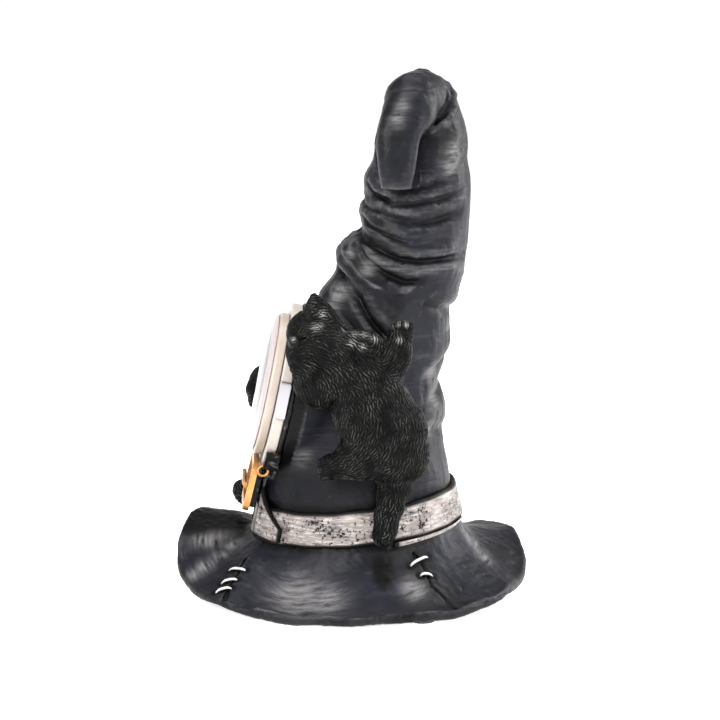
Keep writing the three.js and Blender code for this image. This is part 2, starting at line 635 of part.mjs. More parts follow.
const cell = () => placed(turned([
  [0, CELL.back], [5.4, CELL.back], [CELL.r, CELL.back + 0.4], [CELL.r, CELL.front - 0.8],
  [4.9, CELL.front], [0, CELL.front],
], 28), CELL.at);
const cellTray = () => cut(placed(tube(6.1, 7.3, -18.9, -13.7, 28), CELL.at), [
  block(4, 5, 8, [CELL.at[0] - 6.6, CELL.at[1], -16]),
]);
const springContact = () => block(3, 8.4, 0.22, [CELL.at[0], CELL.at[1], -13.75]);
const sideContact = () => block(0.3, 4.4, 4.6, [CELL.at[0] - 6.35, CELL.at[1], -16.4]);
const cellDoor = () => placed(cut(disc(DOOR_R, CASE.back, CASE.back + 1.1, 28), [
  block(8, 1.2, 1, [0, 0, CASE.back]),
]), CELL.at);
const gripBand = () => tube(CASE.r + 0.15, CASE.r + 0.85, -14, -8, RING);

// A keeper plate that hugs the underside of the socket, with a small ring on it.
const TAB = { from: -58, to: -40, rIn: 34.2, rOut: 36.2, back: -10.4, front: -4.8 };
function strapTab() {
  const arc = (r, a) => [r * Math.cos(rad(a)), r * Math.sin(rad(a))];
  const turns = [0, 0.25, 0.5, 0.75, 1].map((t) => THREE.MathUtils.lerp(TAB.from, TAB.to, t));
  const outline = [
    ...turns.map((a) => arc(TAB.rOut, a)), ...turns.slice().reverse().map((a) => arc(TAB.rIn, a)),
  ];
  return plate(outline, TAB.back, TAB.front);
}
const tabRing = () => new THREE.TorusGeometry(2, 0.55, 6, 14).rotateY(Math.PI / 2)
  .translate(16.8, -31.8, -5.3);

const collar = () => cut(tube(COLLAR.rIn, COLLAR.rOut, COLLAR.back, COLLAR.front, RING), [
  block(8, 2 * COLLAR.notchHalf, 10, [COLLAR.rOut, 0, -6]),
]);
const lug = () => cut(block(5.6, 2 * COLLAR.notchHalf - 0.6, 4.2, [32.2, 0, -6.3]), [
  disc(COLLAR.rIn, -12, 0, RING),
]);

// ---------------------------------------------------------------- assembly
const root = new THREE.Group();
const face = new THREE.Group();
face.rotation.x = rad(90 - CLOCK.tilt);
face.position.set(0, CLOCK.y, CLOCK.z);
root.add(face);

function add(parent, name, geometry, material) {
  const mesh = new THREE.Mesh(geometry, material);
  mesh.name = name;
  parent.add(mesh);
}

const perchTools = perch();
add(root, "hat_shell", hatShell(), RESIN);
add(root, "hat_belt", belt(), SILVER);
add(root, "belt_flare_near", flare(), SILVER);
add(root, "belt_flare_far", mirrored(flare()), SILVER);
add(root, "buckle_frame", buckleFrame(), GOLD);
add(root, "buckle_pad", bucklePad(), BLACK);
add(root, "buckle_prong", bucklePin(), GOLD);
add(root, "cat_climbing", cat(CLIMBING_CAT, perchTools), FUR);
add(root, "cat_peeking", cat(PEEKING_CAT, perchTools), FUR);
STITCHES.forEach((row, i) => add(root, `brim_stitch_${i + 1}`, stitch(row), THREAD));
FEET.forEach(([x, y], i) => add(root, `foot_pad_${i + 1}`, footPad(x, y), RUBBER));

add(face, "trim_ring", tube(TRIM.rIn, TRIM.rOut, TRIM.back, TRIM.front, RING), BLACK);
add(face, "strap_tab", strapTab(), BLACK);
add(face, "tab_ring", tabRing(), GOLD);
add(face, "socket_collar", collar(), IVORY);
add(face, "socket_lug", lug(), WHITE);
add(face, "socket_sleeve", tube(SLEEVE.rIn, SLEEVE.rOut, SLEEVE.back, SLEEVE.front, RING), WHITE);

add(face, "clock_case", clockCase(), PLASTIC);
add(face, "grip_band", gripBand(), RUBBER);
add(face, "clock_bezel", bezel(), TAN);
add(face, "clock_lens", lens(), CLEAR);
add(face, "clock_dial", dial(), IVORY);
add(face, "movement_cover", movementCover(), PLASTIC);
add(face, "movement_box", movementBox(), PLASTIC);
add(face, "stator", stator(), STEEL);
add(face, "coil", coil(), COPPER);
add(face, "circuit_board", board(), BOARD);
add(face, "circuit_chip", chip(), BLACK);
add(face, "quartz_crystal", crystal(), STEEL);
add(face, "cell_tray", cellTray(), PLASTIC);
add(face, "spring_contact", springContact(), BRASS);
add(face, "side_contact", sideContact(), BRASS);
add(face, "button_cell", cell(), STEEL);
add(face, "cell_door", cellDoor(), PLASTIC);
add(face, "rotor", rotor(), STEEL);
add(face, "intermediate_wheel", intermediateWheel(), BRASS);
add(face, "second_wheel", secondWheel(), BRASS);
add(face, "second_hand", secondHand(), BRASS);
add(face, "third_wheel", thirdWheel(), BRASS);
add(face, "centre_wheel", centreWheel(), BRASS);
add(face, "cannon_pinion", cannonPinion(), BRASS);
add(face, "minute_hand", minuteHand(), BLACK);
add(face, "motion_wheel", motionWheel(), WHITE);
add(face, "hour_wheel", hourWheel(), WHITE);
add(face, "hour_hand", hourHand(), BLACK);
add(face, "set_knob", setKnob(), PLASTIC);
export default root;
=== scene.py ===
"""A witch's hat table clock: crooked cast hat, belt and buckle, two cats, round clock insert.

Metres in the scene, millimetres in the helpers. The hat and the cats are modelled as distance
fields, turned into meshes, and then worked over with folds, fur and pits.
"""

from math import asin, copysign, cos, pi, radians, sin, sqrt

import bpy
import numpy as np
from mathutils import Matrix, Vector, kdtree
from numpy.linalg import norm


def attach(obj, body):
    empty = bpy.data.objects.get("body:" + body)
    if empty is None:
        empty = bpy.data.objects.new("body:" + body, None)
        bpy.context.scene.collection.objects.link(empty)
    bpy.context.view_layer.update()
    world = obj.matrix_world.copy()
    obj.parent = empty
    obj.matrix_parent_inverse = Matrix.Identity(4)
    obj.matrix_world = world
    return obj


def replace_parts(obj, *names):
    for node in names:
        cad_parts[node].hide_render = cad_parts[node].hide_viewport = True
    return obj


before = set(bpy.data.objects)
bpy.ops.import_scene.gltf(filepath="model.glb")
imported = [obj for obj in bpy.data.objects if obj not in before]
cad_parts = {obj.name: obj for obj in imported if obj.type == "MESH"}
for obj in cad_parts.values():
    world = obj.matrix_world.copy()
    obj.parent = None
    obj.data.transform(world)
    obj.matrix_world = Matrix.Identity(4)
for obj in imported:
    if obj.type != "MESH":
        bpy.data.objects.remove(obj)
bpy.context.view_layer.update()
MM = 0.001
HAT_STEP, CAT_STEP = ((0.62, 0.29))
rng = np.random.default_rng(11)

# ---- the clock's own frame
TILT = radians(12)  # how far the clock leans back
CLOCK_AT = np.array([0.0, -34.7, 83.5])
CLOCK_OUT = np.array([0.0, -cos(TILT), sin(TILT)])
CLOCK_UP = np.array([0.0, sin(TILT), cos(TILT)])
CLOCK_RIGHT = np.array([1.0, 0.0, 0.0])


def from_clock(p):
    """Each point's distance from the clock's axis, and how far in front of its middle it is."""
    rel = p - CLOCK_AT
    return np.hypot(rel @ CLOCK_RIGHT, rel @ CLOCK_UP), rel @ CLOCK_OUT


# ---- fields and meshes
def smin(a, b, k):
    """Smooth union of two fields."""
    h = np.clip(0.5 + 0.5 * (b - a) / k, 0, 1)
    return b + (a - b) * h - k * h * (1 - h)


def smax(a, b, k):
    return -smin(-a, -b, k)


def smoothstep(lo, hi, v):
    t = np.clip((v - lo) / (hi - lo), 0, 1)
    return t * t * (3 - 2 * t)


def ellipsoid(p, at, half, about_x=0, about_y=0, about_z=0):
    turn = lambda degrees, axis: Matrix.Rotation(radians(degrees), 3, axis)
    spin = turn(about_z, "Z") @ turn(about_y, "Y") @ turn(about_x, "X")
    q = (p - np.array(at)) @ np.array(spin)
    half = np.array(half, float)
    k0 = norm(q / half, axis=1)
    k1 = norm(q / half**2, axis=1) + 1e-9
    return k0 * (k0 - 1) / k1


def limb(p, points, radii, k=1):
    """A tapering rounded tube through points."""
    out = np.full(len(p), 1e3)
    for a, b, ra, rb in zip(points, points[1:], radii, radii[1:]):
        a, b = np.array(a, float), np.array(b, float)
        t = np.clip(((p - a) @ (b - a)) / ((b - a) @ (b - a)), 0, 1)
        d = norm(p - a - t[:, None] * (b - a), axis=1) - (ra + (rb - ra) * t)
        out = smin(out, d, k)
    return out


def nets(field, low, high, step):
    """Vertices and quads of the field's zero surface (naive surface nets)."""
    low = np.array(low, float)
    blocks = np.ceil((np.array(high) - low) / (4 * step)).astype(int) + 1
    size = blocks * 4
    middle = [(np.arange(m) + 0.375) * 4 * step + low[i] for i, m in enumerate(blocks)]
    grid = np.stack(np.meshgrid(*middle, indexing="ij"), -1).reshape(-1, 3)
    rough = field(grid).reshape(blocks)
    near = np.abs(rough) < 6.5 * step
    spread = lambda a: a.repeat(4, 0).repeat(4, 1).repeat(4, 2)
    value = spread(rough).astype(np.float32)
    cells = np.argwhere(spread(near))
    for start in range(0, len(cells), 400000):
        part = cells[start:start + 400000]
        value[tuple(part.T)] = field(part * step + low)
    inside = value < 0
    corners = [(i, j, k) for i in (0, 1) for j in (0, 1) for k in (0, 1)]
    cut = tuple(s - 1 for s in size)
    at = lambda a, c: a[c[0]:c[0] + cut[0], c[1]:c[1] + cut[1], c[2]:c[2] + cut[2]]
    filled = sum(at(inside, c).astype(np.int8) for c in corners)
    active = np.argwhere((filled > 0) & (filled < 8))
    number = np.full(cut, -1, np.int32)
    number[tuple(active.T)] = np.arange(len(active))
    total, count = np.zeros((len(active), 3)), np.zeros(len(active))
    v = {c: value[tuple((active + c).T)] for c in corners}
    for a in corners:
        for axis in range(3):
            if a[axis]:
                continue
            b = tuple(1 if i == axis else a[i] for i in range(3))
            cross = (v[a] < 0) != (v[b] < 0)
            t = np.where(cross, v[a] / np.where(cross, v[a] - v[b], 1), 0)
            place = np.tile(np.array(a, float), (len(active), 1))
            place[:, axis] = t
            total += place * cross[:, None]
            count += cross
    verts = (active + total / count[:, None]) * step + low
    quads = []
    for axis in range(3):
        u, w = (axis + 1) % 3, (axis + 2) % 3
        shift = np.zeros(3, int)
        shift[axis] = 1
        a, b = at(inside, (0, 0, 0)), at(inside, shift)
        edge = np.argwhere(a != b)
        edge = edge[(edge[:, u] > 0) & (edge[:, w] > 0)]
        du, dw = np.zeros(3, int), np.zeros(3, int)
        du[u], dw[w] = 1, 1
        get = lambda e: number[tuple(e.T)]
        ring = np.stack([get(edge - du - dw), get(edge - dw), get(edge), get(edge - du)], 1)
        out = a[tuple(edge.T)]
        ring[~out] = ring[~out][:, ::-1]
        quads.append(ring)
    quads = np.concatenate(quads)
    quads = quads[(quads >= 0).all(1)]
    for _ in range(2):
        verts -= _step(field, verts)
    return verts, quads


def _step(field, p, e=0.05):
    """The move that brings points onto the field's zero surface."""
    f = field(p)
    grad = np.stack([(field(p + e * np.eye(3)[i]) - f) / e for i in range(3)], 1)
    move = grad * (f / np.maximum((grad**2).sum(1), 0.2))[:, None]
    return np.clip(move, -0.3, 0.3)


def normals_of(verts, quads):
    a = verts[quads[:, 2]] - verts[quads[:, 0]]
    b = verts[quads[:, 3]] - verts[quads[:, 1]]
    n = np.cross(a, b)
    out = np.stack([sum(np.bincount(quads[:, j], n[:, i], len(verts)) for j in range(4))
                    for i in range(3)], 1)
    return out / np.maximum(norm(out, axis=1, keepdims=True), 1e-12)


def smoothed(values, quads, count, rounds):
    """Values averaged over their neighbours, several times over."""
    a = np.tile(quads.T.ravel(), 2)
    b = np.concatenate([np.roll(quads, turn, 1).T.ravel() for turn in (-1, 1)])
    weight = np.maximum(np.bincount(a, minlength=count), 1)
    values = values.astype(float).reshape(count, -1)
    for _ in range(rounds):
        near = np.stack([np.bincount(a, values[b, i], count) for i in range(values.shape[1])], 1)
        values = 0.35 * values + 0.65 * near / weight[:, None]
    return values


def ridge_of(verts, quads, rounds):
    """How far each vertex stands proud of its smoothed neighbourhood, in mm."""
    flat = smoothed(verts, quads, len(verts), rounds)
    return ((verts - flat) * normals_of(verts, quads)).sum(1)


def waves(p, length, amount, seed, count=14):
    """Smooth seeded lumpiness with about that wavelength."""
    r = np.random.default_rng(seed)
    out = np.zeros(len(p))
    for _ in range(count):
        way = r.normal(size=3)
        way *= 2 * pi / (length * r.uniform(0.7, 1.5)) / norm(way)
        out += np.sin(p @ way + r.uniform(0, 6.3))
    return out * amount / sqrt(count / 2)


def tree_of(verts):
    tree = kdtree.KDTree(len(verts))
    for i, v in enumerate(verts):
        tree.insert(v, i)
    tree.balance()
    return tree


def placed(name, data):
    """A new object, linked into the scene."""
    obj = bpy.data.objects.new(name, data)
    bpy.context.scene.collection.objects.link(obj)
    return obj


def make(name, verts, faces, material, attributes=None, smooth=True):
    """An object from arrays in mm."""
    mesh = bpy.data.meshes.new(name)
    mesh.from_pydata((np.asarray(verts) * MM).tolist(), [], [list(map(int, f)) for f in faces])
    mesh.polygons.foreach_set("use_smooth", [smooth] * len(mesh.polygons))
    for key, data in (attributes or {}).items():
        vector = np.ndim(data) == 2
        layer = mesh.attributes.new(key, "FLOAT_VECTOR" if vector else "FLOAT", "POINT")
        layer.data.foreach_set("vector" if vector else "value",
                               np.asarray(data, np.float32).ravel())
    mesh.materials.append(material)
    mesh.update()
    return placed(name, mesh)


# ---- materials
class Nodes:
    """A small builder for one material."""

    def __init__(self, name):
        self.material = bpy.data.materials.new(name)
        self.material.use_nodes = True
        self.tree = self.material.node_tree
        self.shader = self.tree.nodes["Principled BSDF"]

    def add(self, kind, inputs=None, **settings):
        node = self.tree.nodes.new(kind)
        for key, value in settings.items():
            setattr(node, key, value)
        for key, value in (inputs or {}).items():
            self.put(node.inputs[key], value)
        return node

    def put(self, socket, value):
        if isinstance(value, bpy.types.NodeSocket):
            self.tree.links.new(value, socket)
        else:
            socket.default_value = value

    def place(self, name=None):
        if name is None:
            return self.add("ShaderNodeTexCoord").outputs["Object"]
        return self.add("ShaderNodeAttribute", attribute_name=name).outputs["Vector"]

    def value(self, name):
        return self.add("ShaderNodeAttribute", attribute_name=name).outputs["Fac"]

    def stretch(self, vector, scale):
        return self.add("ShaderNodeMapping", {"Vector": vector, "Scale": scale}).outputs[0]

    def noise(self, vector, scale, detail=4, rough=0.6):
        node = self.add("ShaderNodeTexNoise", {"Vector": vector, "Scale": scale,
                                               "Detail": detail, "Roughness": rough})
        return node.outputs["Fac"]

    def span(self, value, low, high, to_low=0, to_high=1):
        node = self.add("ShaderNodeMapRange", {"Value": value, "From Min": low, "From Max": high,
                                               "To Min": to_low, "To Max": to_high})
        return node.outputs["Result"]

    def math(self, kind, a, b=0, clamp=False):
        node = self.add("ShaderNodeMath", operation=kind, use_clamp=clamp)
        self.put(node.inputs[0], a)
        self.put(node.inputs[1], b)
        return node.outputs[0]

    def times(self, a, b, clamp=False):
        return self.math("MULTIPLY", a, b, clamp)

    def mix(self, fac, a, b):
        """Between two colours, each a socket or (r, g, b)."""
        node = self.add("ShaderNodeMix", data_type="RGBA")
        for slot, value in zip((0, 6, 7), (fac, a, b)):
            self.put(node.inputs[slot], (*value, 1) if isinstance(value, tuple) else value)
        return node.outputs[2]

    def bump(self, height, strength, distance, normal=None):
        inputs = {"Height": height, "Strength": strength, "Distance": distance}
        if normal is not None:
            inputs["Normal"] = normal
        return self.add("ShaderNodeBump", inputs).outputs["Normal"]

    def done(self, **inputs):
        for key, value in inputs.items():
            self.put(self.shader.inputs[key.replace("_", " ")], value)
        return self.material


def hat_paint():
    n = Nodes("hat paint")
    flow, place = n.place("flow"), n.place()
    ridge, fine, ink_and_shade, highlight_and_drybrush = n.value("ridge"), n.value("fine"), n.value("ink_and_shade"), n.value("highlight_and_drybrush")
    streak = n.noise(flow, 1.5, 7, 0.72)
    wide = n.noise(flow, 0.42, 3, 0.55)
    cloud = n.noise(place, 34, 5, 0.6)
    speck = n.noise(place, 1100, 3, 0.7)
    base = n.mix(n.span(cloud, 0.35, 0.66), (0.0062, 0.0064, 0.0070), (0.0108, 0.0114, 0.0178))
    # painted shade: the hollows of the broad folds are darkened
    base = n.mix(n.span(ridge, -0.05, -0.6), base, (0.0018, 0.0018, 0.0020))
    brush = n.times(n.span(streak, 0.48, 0.66), n.span(cloud, 0.47, 0.66))
    brush = n.times(brush, n.span(wide, 0.40, 0.62))
    proud = n.math("MAXIMUM", n.span(ridge, 0.16, 1.1), n.span(fine, 0.03, 0.15))
    proud = n.times(proud, n.span(streak, 0.34, 0.60), clamp=True)
    pale = n.math("ADD", n.times(brush, 0.22), n.times(proud, 0.44), clamp=True)
    # painted highlight, partly drybrush: pale patches round the listed spots
    pale = n.math("MAXIMUM", pale, n.times(highlight_and_drybrush, n.span(streak, 0.34, 0.62), clamp=True))
    painted = n.mix(pale, base, (0.175, 0.168, 0.170))
    # black paint along the belt, cracks, stitches and socket, and a painted shadow under the tail
    painted = n.mix(ink_and_shade, painted, (0.0015, 0.0015, 0.0016))
    rough = n.math("ADD", n.span(streak, 0.3, 0.7, 0.27, 0.40), n.times(cloud, 0.12))
    normal = n.bump(streak, 0.16, 0.0005)
    normal = n.bump(speck, 0.10, 0.0002, normal)
    return n.done(Base_Color=painted, Roughness=rough, Normal=normal, Specular_IOR_Level=0.115)


def fur_paint():
    n = Nodes("fur paint")
    place = n.place()
    fine, ridge, highlight_and_drybrush = n.value("fine"), n.value("ridge"), n.value("highlight_and_drybrush")
    cloud = n.noise(place, 150, 4, 0.6)
    base = n.mix(n.span(cloud, 0.3, 0.7), (0.0022, 0.0022, 0.0021), (0.0042, 0.0042, 0.0040))
    proud = n.times(n.span(fine, 0.02, 0.10), n.span(cloud, 0.40, 0.66), clamp=True)
    painted = n.mix(proud, base, (0.058, 0.058, 0.054))
    # painted highlight: pale patches round the listed spots on the near cat
    painted = n.mix(n.times(highlight_and_drybrush, n.span(fine, -0.02, 0.06), clamp=True), painted,
                    (0.30, 0.30, 0.29))
    # painted shade: hollows between the locks are darkened, and the tail and low parts through their
    # lowered ridge values
    painted = n.mix(n.span(ridge, -0.02, -0.2), painted, (0.0008, 0.0008, 0.0008))
    hair = n.noise(place, 700, 2, 0.6)
    return n.done(Base_Color=painted, Roughness=n.span(cloud, 0.3, 0.7, 0.26, 0.38),
                  Normal=n.bump(hair, 0.10, 0.0002), Specular_IOR_Level=0.05)


def silver_paint():
    n = Nodes("distressed silver")
    place, edge = n.place(), n.value("edge")
    wear = n.noise(place, 720, 7, 0.7)
    patch = n.noise(place, 75, 4, 0.6)
    scratch = n.noise(n.stretch(place, (1, 1, 7)), 150, 8, 0.72)
    metal = n.mix(n.span(patch, 0.35, 0.65), (0.17, 0.155, 0.15), (0.30, 0.265, 0.245))
    metal = n.mix(n.span(scratch, 0.50, 0.64), metal, (0.50, 0.445, 0.42))
    grime = n.math("ADD", wear, n.times(patch, 0.55))
    black = n.math("MAXIMUM", n.span(grime, 0.715, 0.655), n.span(edge, 0.76, 0.88))
    deep = n.times(n.span(scratch, 0.45, 0.35), 0.85)
    black = n.math("MAXIMUM", black, deep, clamp=True)
    painted = n.mix(black, metal, (0.004, 0.0037, 0.0035))
    return n.done(Base_Color=painted, Metallic=n.span(black, 0, 1, 0.35, 0),
                  Roughness=n.span(wear, 0.3, 0.7, 0.34, 0.6), Normal=n.bump(wear, 0.35, 0.0003),
                  Specular_IOR_Level=0.12)


def gold_paint():
    n = Nodes("worn gold")
    place = n.place()
    wear = n.noise(place, 420, 7, 0.7)
    patch = n.noise(place, 130, 3, 0.5)
    gold = n.mix(n.span(patch, 0.35, 0.65), (0.42, 0.19, 0.055), (0.68, 0.37, 0.13))
    painted = n.mix(n.span(wear, 0.42, 0.34), gold, (0.05, 0.03, 0.015))
    return n.done(Base_Color=painted, Metallic=0.75, Roughness=n.span(wear, 0.3, 0.7, 0.26, 0.46),
                  Normal=n.bump(wear, 0.3, 0.0003))


def black_paint():
    n = Nodes("black paint")
    place = n.place()
    wear = n.noise(place, 300, 6, 0.7)
    painted = n.mix(n.span(wear, 0.58, 0.72), (0.004, 0.004, 0.004), (0.16, 0.155, 0.15))
    return n.done(Base_Color=painted, Roughness=n.span(wear, 0.3, 0.7, 0.34, 0.55),
                  Normal=n.bump(wear, 0.25, 0.0003), Specular_IOR_Level=0.2)


def thread_paint():
    n = Nodes("stitch paint")
    place, edge = n.place(), n.value("edge")
    wear = n.noise(place, 800, 5, 0.7)
    white = n.mix(n.span(wear, 0.35, 0.6), (0.40, 0.40, 0.39), (0.66, 0.66, 0.65))
    painted = n.mix(n.span(edge, 0.30, 0.75), white, (0.015, 0.015, 0.016))
    return n.done(Base_Color=painted, Roughness=n.span(wear, 0.3, 0.7, 0.35, 0.5),
                  Normal=n.bump(wear, 0.25, 0.0002))


def plastic(name, dark, light, rough, grain=0.06, scale=900, metal=0):
    """A moulded or machined surface: a faint cloud in its colour, and a fine grain."""
    n = Nodes(name)
    place = n.place()
    cloud = n.noise(place, 55, 3, 0.5)
    fine = n.noise(place, scale, 3, 0.6)
    painted = n.mix(n.span(cloud, 0.35, 0.65), dark, light)
    return n.done(Base_Color=painted, Metallic=metal,
                  Roughness=n.span(fine, 0.3, 0.7, rough - 0.05, rough + 0.06),
                  Normal=n.bump(fine, grain, 0.0002))


def clear_plastic():
    """Clear over the dial; the rim is milky pinkish white, a painted reflection, and lets little
    light through.
    """
    n = Nodes("clear dome")
    fine = n.noise(n.place(), 500, 3, 0.6)
    cloud = n.noise(n.place(), 40, 2, 0.5)
    rim = n.span(n.value("edge"), 22.4, 24.4)
    # painted reflection: the rim's milky pinkish white
    rim_reflection = n.mix(n.span(cloud, 0.35, 0.65), (0.40, 0.345, 0.34), (0.46, 0.395, 0.39))
    tint = n.mix(rim, (0.97, 0.96, 0.96), rim_reflection)
    return n.done(Base_Color=tint, Roughness=n.span(fine, 0.3, 0.7, 0.04, 0.10), IOR=1.46,
                  Transmission_Weight=n.span(rim, 0, 1, 0.96, 0.06),
                  Normal=n.bump(fine, 0.02, 0.0001))


HAT = hat_paint()
FUR = fur_paint()
SILVER = silver_paint()
GOLD = gold_paint()
BLACK = black_paint()
THREAD = thread_paint()
CLEAR = clear_plastic()
CREAM = plastic("cream plastic", (0.43, 0.385, 0.345), (0.49, 0.445, 0.40), 0.30)
BEIGE = plastic("beige plastic", (0.40, 0.33, 0.27), (0.47, 0.40, 0.34), 0.32)
WHITE = plastic("white plastic", (0.37, 0.355, 0.385), (0.43, 0.415, 0.445), 0.34)
GREY = plastic("grey plastic", (0.040, 0.042, 0.046), (0.060, 0.063, 0.068), 0.50, 0.15)
SOFT = plastic("soft feet", (0.022, 0.020, 0.022), (0.035, 0.032, 0.035), 0.85, 0.5, 1500)
BRASS = plastic("gear brass", (0.56, 0.36, 0.11), (0.68, 0.48, 0.18), 0.28, 0.1, 1500, 1)
STEEL = plastic("bright steel", (0.44, 0.46, 0.48), (0.56, 0.58, 0.60), 0.30, 0.1, 1500, 1)
NATURAL = plastic("gear plastic", (0.74, 0.74, 0.76), (0.82, 0.82, 0.84), 0.42)
COPPER = plastic("copper wire", (0.48, 0.16, 0.06), (0.62, 0.25, 0.11), 0.32, 0.5, 2500, 1)
BOARD = plastic("circuit board", (0.02, 0.12, 0.045), (0.04, 0.19, 0.075), 0.36, 0.2)
HAND = plastic("hand paint", (0.008, 0.008, 0.009), (0.014, 0.014, 0.016), 0.35)


# ---- the hat's shape
# The cone's outline: height, front edge (y), back edge (y), half width (x).
TRUNK = np.array([
    (18, -41, 45.5, 41), (22, -39.5, 44.5, 40.5), (30, -37.5, 42.2, 38.8), (42, -35, 39.2, 36.3),
    (51, -32.7, 38, 34.5), (59, -31, 35.4, 33.3), (65, -29.6, 34.7, 32.4), (70, -28.5, 36, 32),
    (75, -27.2, 36.4, 31.4), (80, -26, 35, 30.6), (86, -24.3, 33.5, 30), (93, -22, 36.4, 29.4),
    (100, -19.6, 38.6, 28.9), (107, -17.2, 38, 27.8), (113, -15, 37.4, 26.6),
    (120, -12.6, 41, 25.8), (127, -6.8, 44.2, 25.4), (132, -6.4, 44.4, 25.6),
    (137, -6.2, 44.5, 25.2), (140.5, -2.2, 44.6, 23.6), (143, 1.2, 44.7, 23),
    (146.4, 3.4, 45, 22.4), (151.6, 2, 45.8, 21.6), (157.8, 5.4, 46.4, 20.8),
    (160.5, 4.6, 46.6, 20.4), (165.5, 4.4, 46.7, 20), (172.4, 8.6, 45.2, 19), (179, 9.2, 45, 18),
    (187, 10.6, 43.4, 16.4), (193, 12, 41.4, 14.6), (197, 13.6, 39.4, 12.8),
    (201, 16.5, 36.6, 10.4), (204, 20, 33.6, 7.2), (205.6, 24, 30.4, 3), (206, 26.6, 28, 0.8),
])
LEVELS = np.arange(14, 206.5, 0.5)


def _profile(table, levels, column, sigma=1.3):
    """One column of a table at the levels, smoothed over sigma mm."""
    raw = np.interp(levels, table[:, 0], table[:, column])
    reach = np.arange(-12, 13)
    kernel = np.exp(-0.5 * (reach * 0.5 / sigma) ** 2)
    return np.convolve(np.pad(raw, 12, "edge"), kernel / kernel.sum(), "valid")


FRONT, BACK, HALF = (_profile(TRUNK, LEVELS, column) for column in (1, 2, 3))
WALL = 4.2
HAT_TOP, HOLLOW_TOP = 206.2, 107
BRIM_ROOT, BRIM_THICK, BRIM_WIDE, BRIM_ROUND = 22, 3.2, 22, 1.35
BELT_MID, BELT_TILT, BELT_HALF = 33.4, 3.8, 6.6
BOSS_FACE, BOSS_BACK, BOSS_CLEAR, BORE_R = 10.6, 36, 36.8, 29.4
TAIL_POWER, TAIL_TOP = 2.6, 198


def section(z):
    """The cone's level section: middle (y), half depth (y) and half width (x)."""
    front, back = np.interp(z, LEVELS, FRONT), np.interp(z, LEVELS, BACK)
    return (front + back) / 2, (back - front) / 2, np.interp(z, LEVELS, HALF)


def on_hat(y, z, side=1, lift=0):
    """A point on the cone at that y and height, on the near (+1) or far (-1) side."""
    mid, deep, half = section(z)
    turn = np.arcsin(np.clip((y - mid) / deep, -0.999, 0.999))
    return np.array([side * (half + lift) * cos(turn), mid + (deep + lift) * sin(turn), z])


def hump(angle, middle, width):
    """A swell of height 1 round an angle, gone at width degrees to each side."""
    share = np.abs((angle - radians(middle) + pi) % (2 * pi) - pi)
    share = np.clip(share / radians(width), 0, 1)
    return np.cos(share * pi / 2) ** 2


def edge_height(a):
    rolled = 22.6 * hump(a, -110, 52) + 14.6 * hump(a, 112, 50)
    return (0.4 + rolled + 3 * hump(a, -60, 24) + 3.6 * hump(a, 60, 26)
            + 0.25 * np.sin(9 * a + 0.8) ** 2)


def edge_radius(a):
    return 65.4 - 4.8 * np.cos(2 * a) + 0.9 * np.cos(6 * a + 1.2) + 0.5 * np.cos(13 * a)


def brim_top(a, share):
    edge = edge_height(a) + BRIM_THICK
    dip = 1.5 * np.sin(np.clip(share, 0, 1) * pi) * np.sin(5 * a + 1)
    return edge + (BRIM_ROOT - edge) * (1 - np.clip(share, 0, 1)) ** 1.35 + dip


def brim_share(x, y):
    """The angle, and how far out across the brim: 0 at its root and 1 at its edge."""
    a = np.arctan2(y, x)
    root = 41 + 2.5 * np.sin(a)
    return a, (np.hypot(x, y) - root) / (edge_radius(a) - root)


def on_brim(angle, share, lift=0):
    a = radians(angle)
    root = 41 + 2.5 * sin(a)
    r = root + (edge_radius(a) - root) * share
    return np.array([r * cos(a), r * sin(a), brim_top(np.array(a), np.array(share)) + lift])


CURL_LINE = [(-1, 27.4, 190), (6, 25.4, 194.2), (12, 22.6, 194.6), (16.6, 21.4, 192)]
CURL_R = [12.8, 11.8, 10.9, 10]
# The hanging part of the tip: height, middle (x, y) and half widths (x, y).
TAIL = np.array([
    (162.8, 26.8, 15, 4.2, 5.4), (164.6, 27, 15.1, 4.7, 6.1), (170, 26.8, 15.3, 5.2, 7.2),
    (176, 26, 15.6, 5.8, 7.9), (183.5, 23.8, 16.6, 6.5, 8.5), (189, 21, 18.8, 6.9, 9.4),
    (194, 17.8, 20.8, 6.2, 8.6), (198, 16, 21.6, 4.4, 6),
])
TAIL_LEVELS = np.arange(162.8, 198.3, 0.5)
TAIL_ROWS = [_profile(TAIL, TAIL_LEVELS, column, 1.6) for column in (1, 2, 3, 4)]
# The lip behind the tip, and the crease inside it.
HOOD = [on_hat(y, z, 1, 0.1) for y, z in
        [(33, 203.2), (36.4, 200.6), (38.4, 196.8), (38.6, 192.8), (36.8, 189), (33.6, 186.2),
         (29.4, 184.4), (25.4, 184.6)]]
HOOD_CREASE = [on_hat(y, z, 1, 0.8) for y, z in
               [(33.4, 200.4), (35.4, 197.2), (35.2, 193.6), (33.2, 190.2), (30.2, 187.4),
                (27, 186.2)]]
CRACKS = [[on_brim(angle, share) for angle, share in line] for line in (
    [(-63, 0.3), (-60, 0.44), (-57, 0.56), (-55, 0.76), (-52, 0.95)],
    [(30.5, 0), (31.5, 0.04), (34, 0.16), (33.5, 0.3), (32.5, 0.44), (35.5, 0.68), (36, 0.9)],
    [(153, 0.12), (156, 0.3), (151, 0.5), (154, 0.8)],
    [(217, 0.1), (220, 0.35), (219, 0.6), (222, 0.9)],
)]


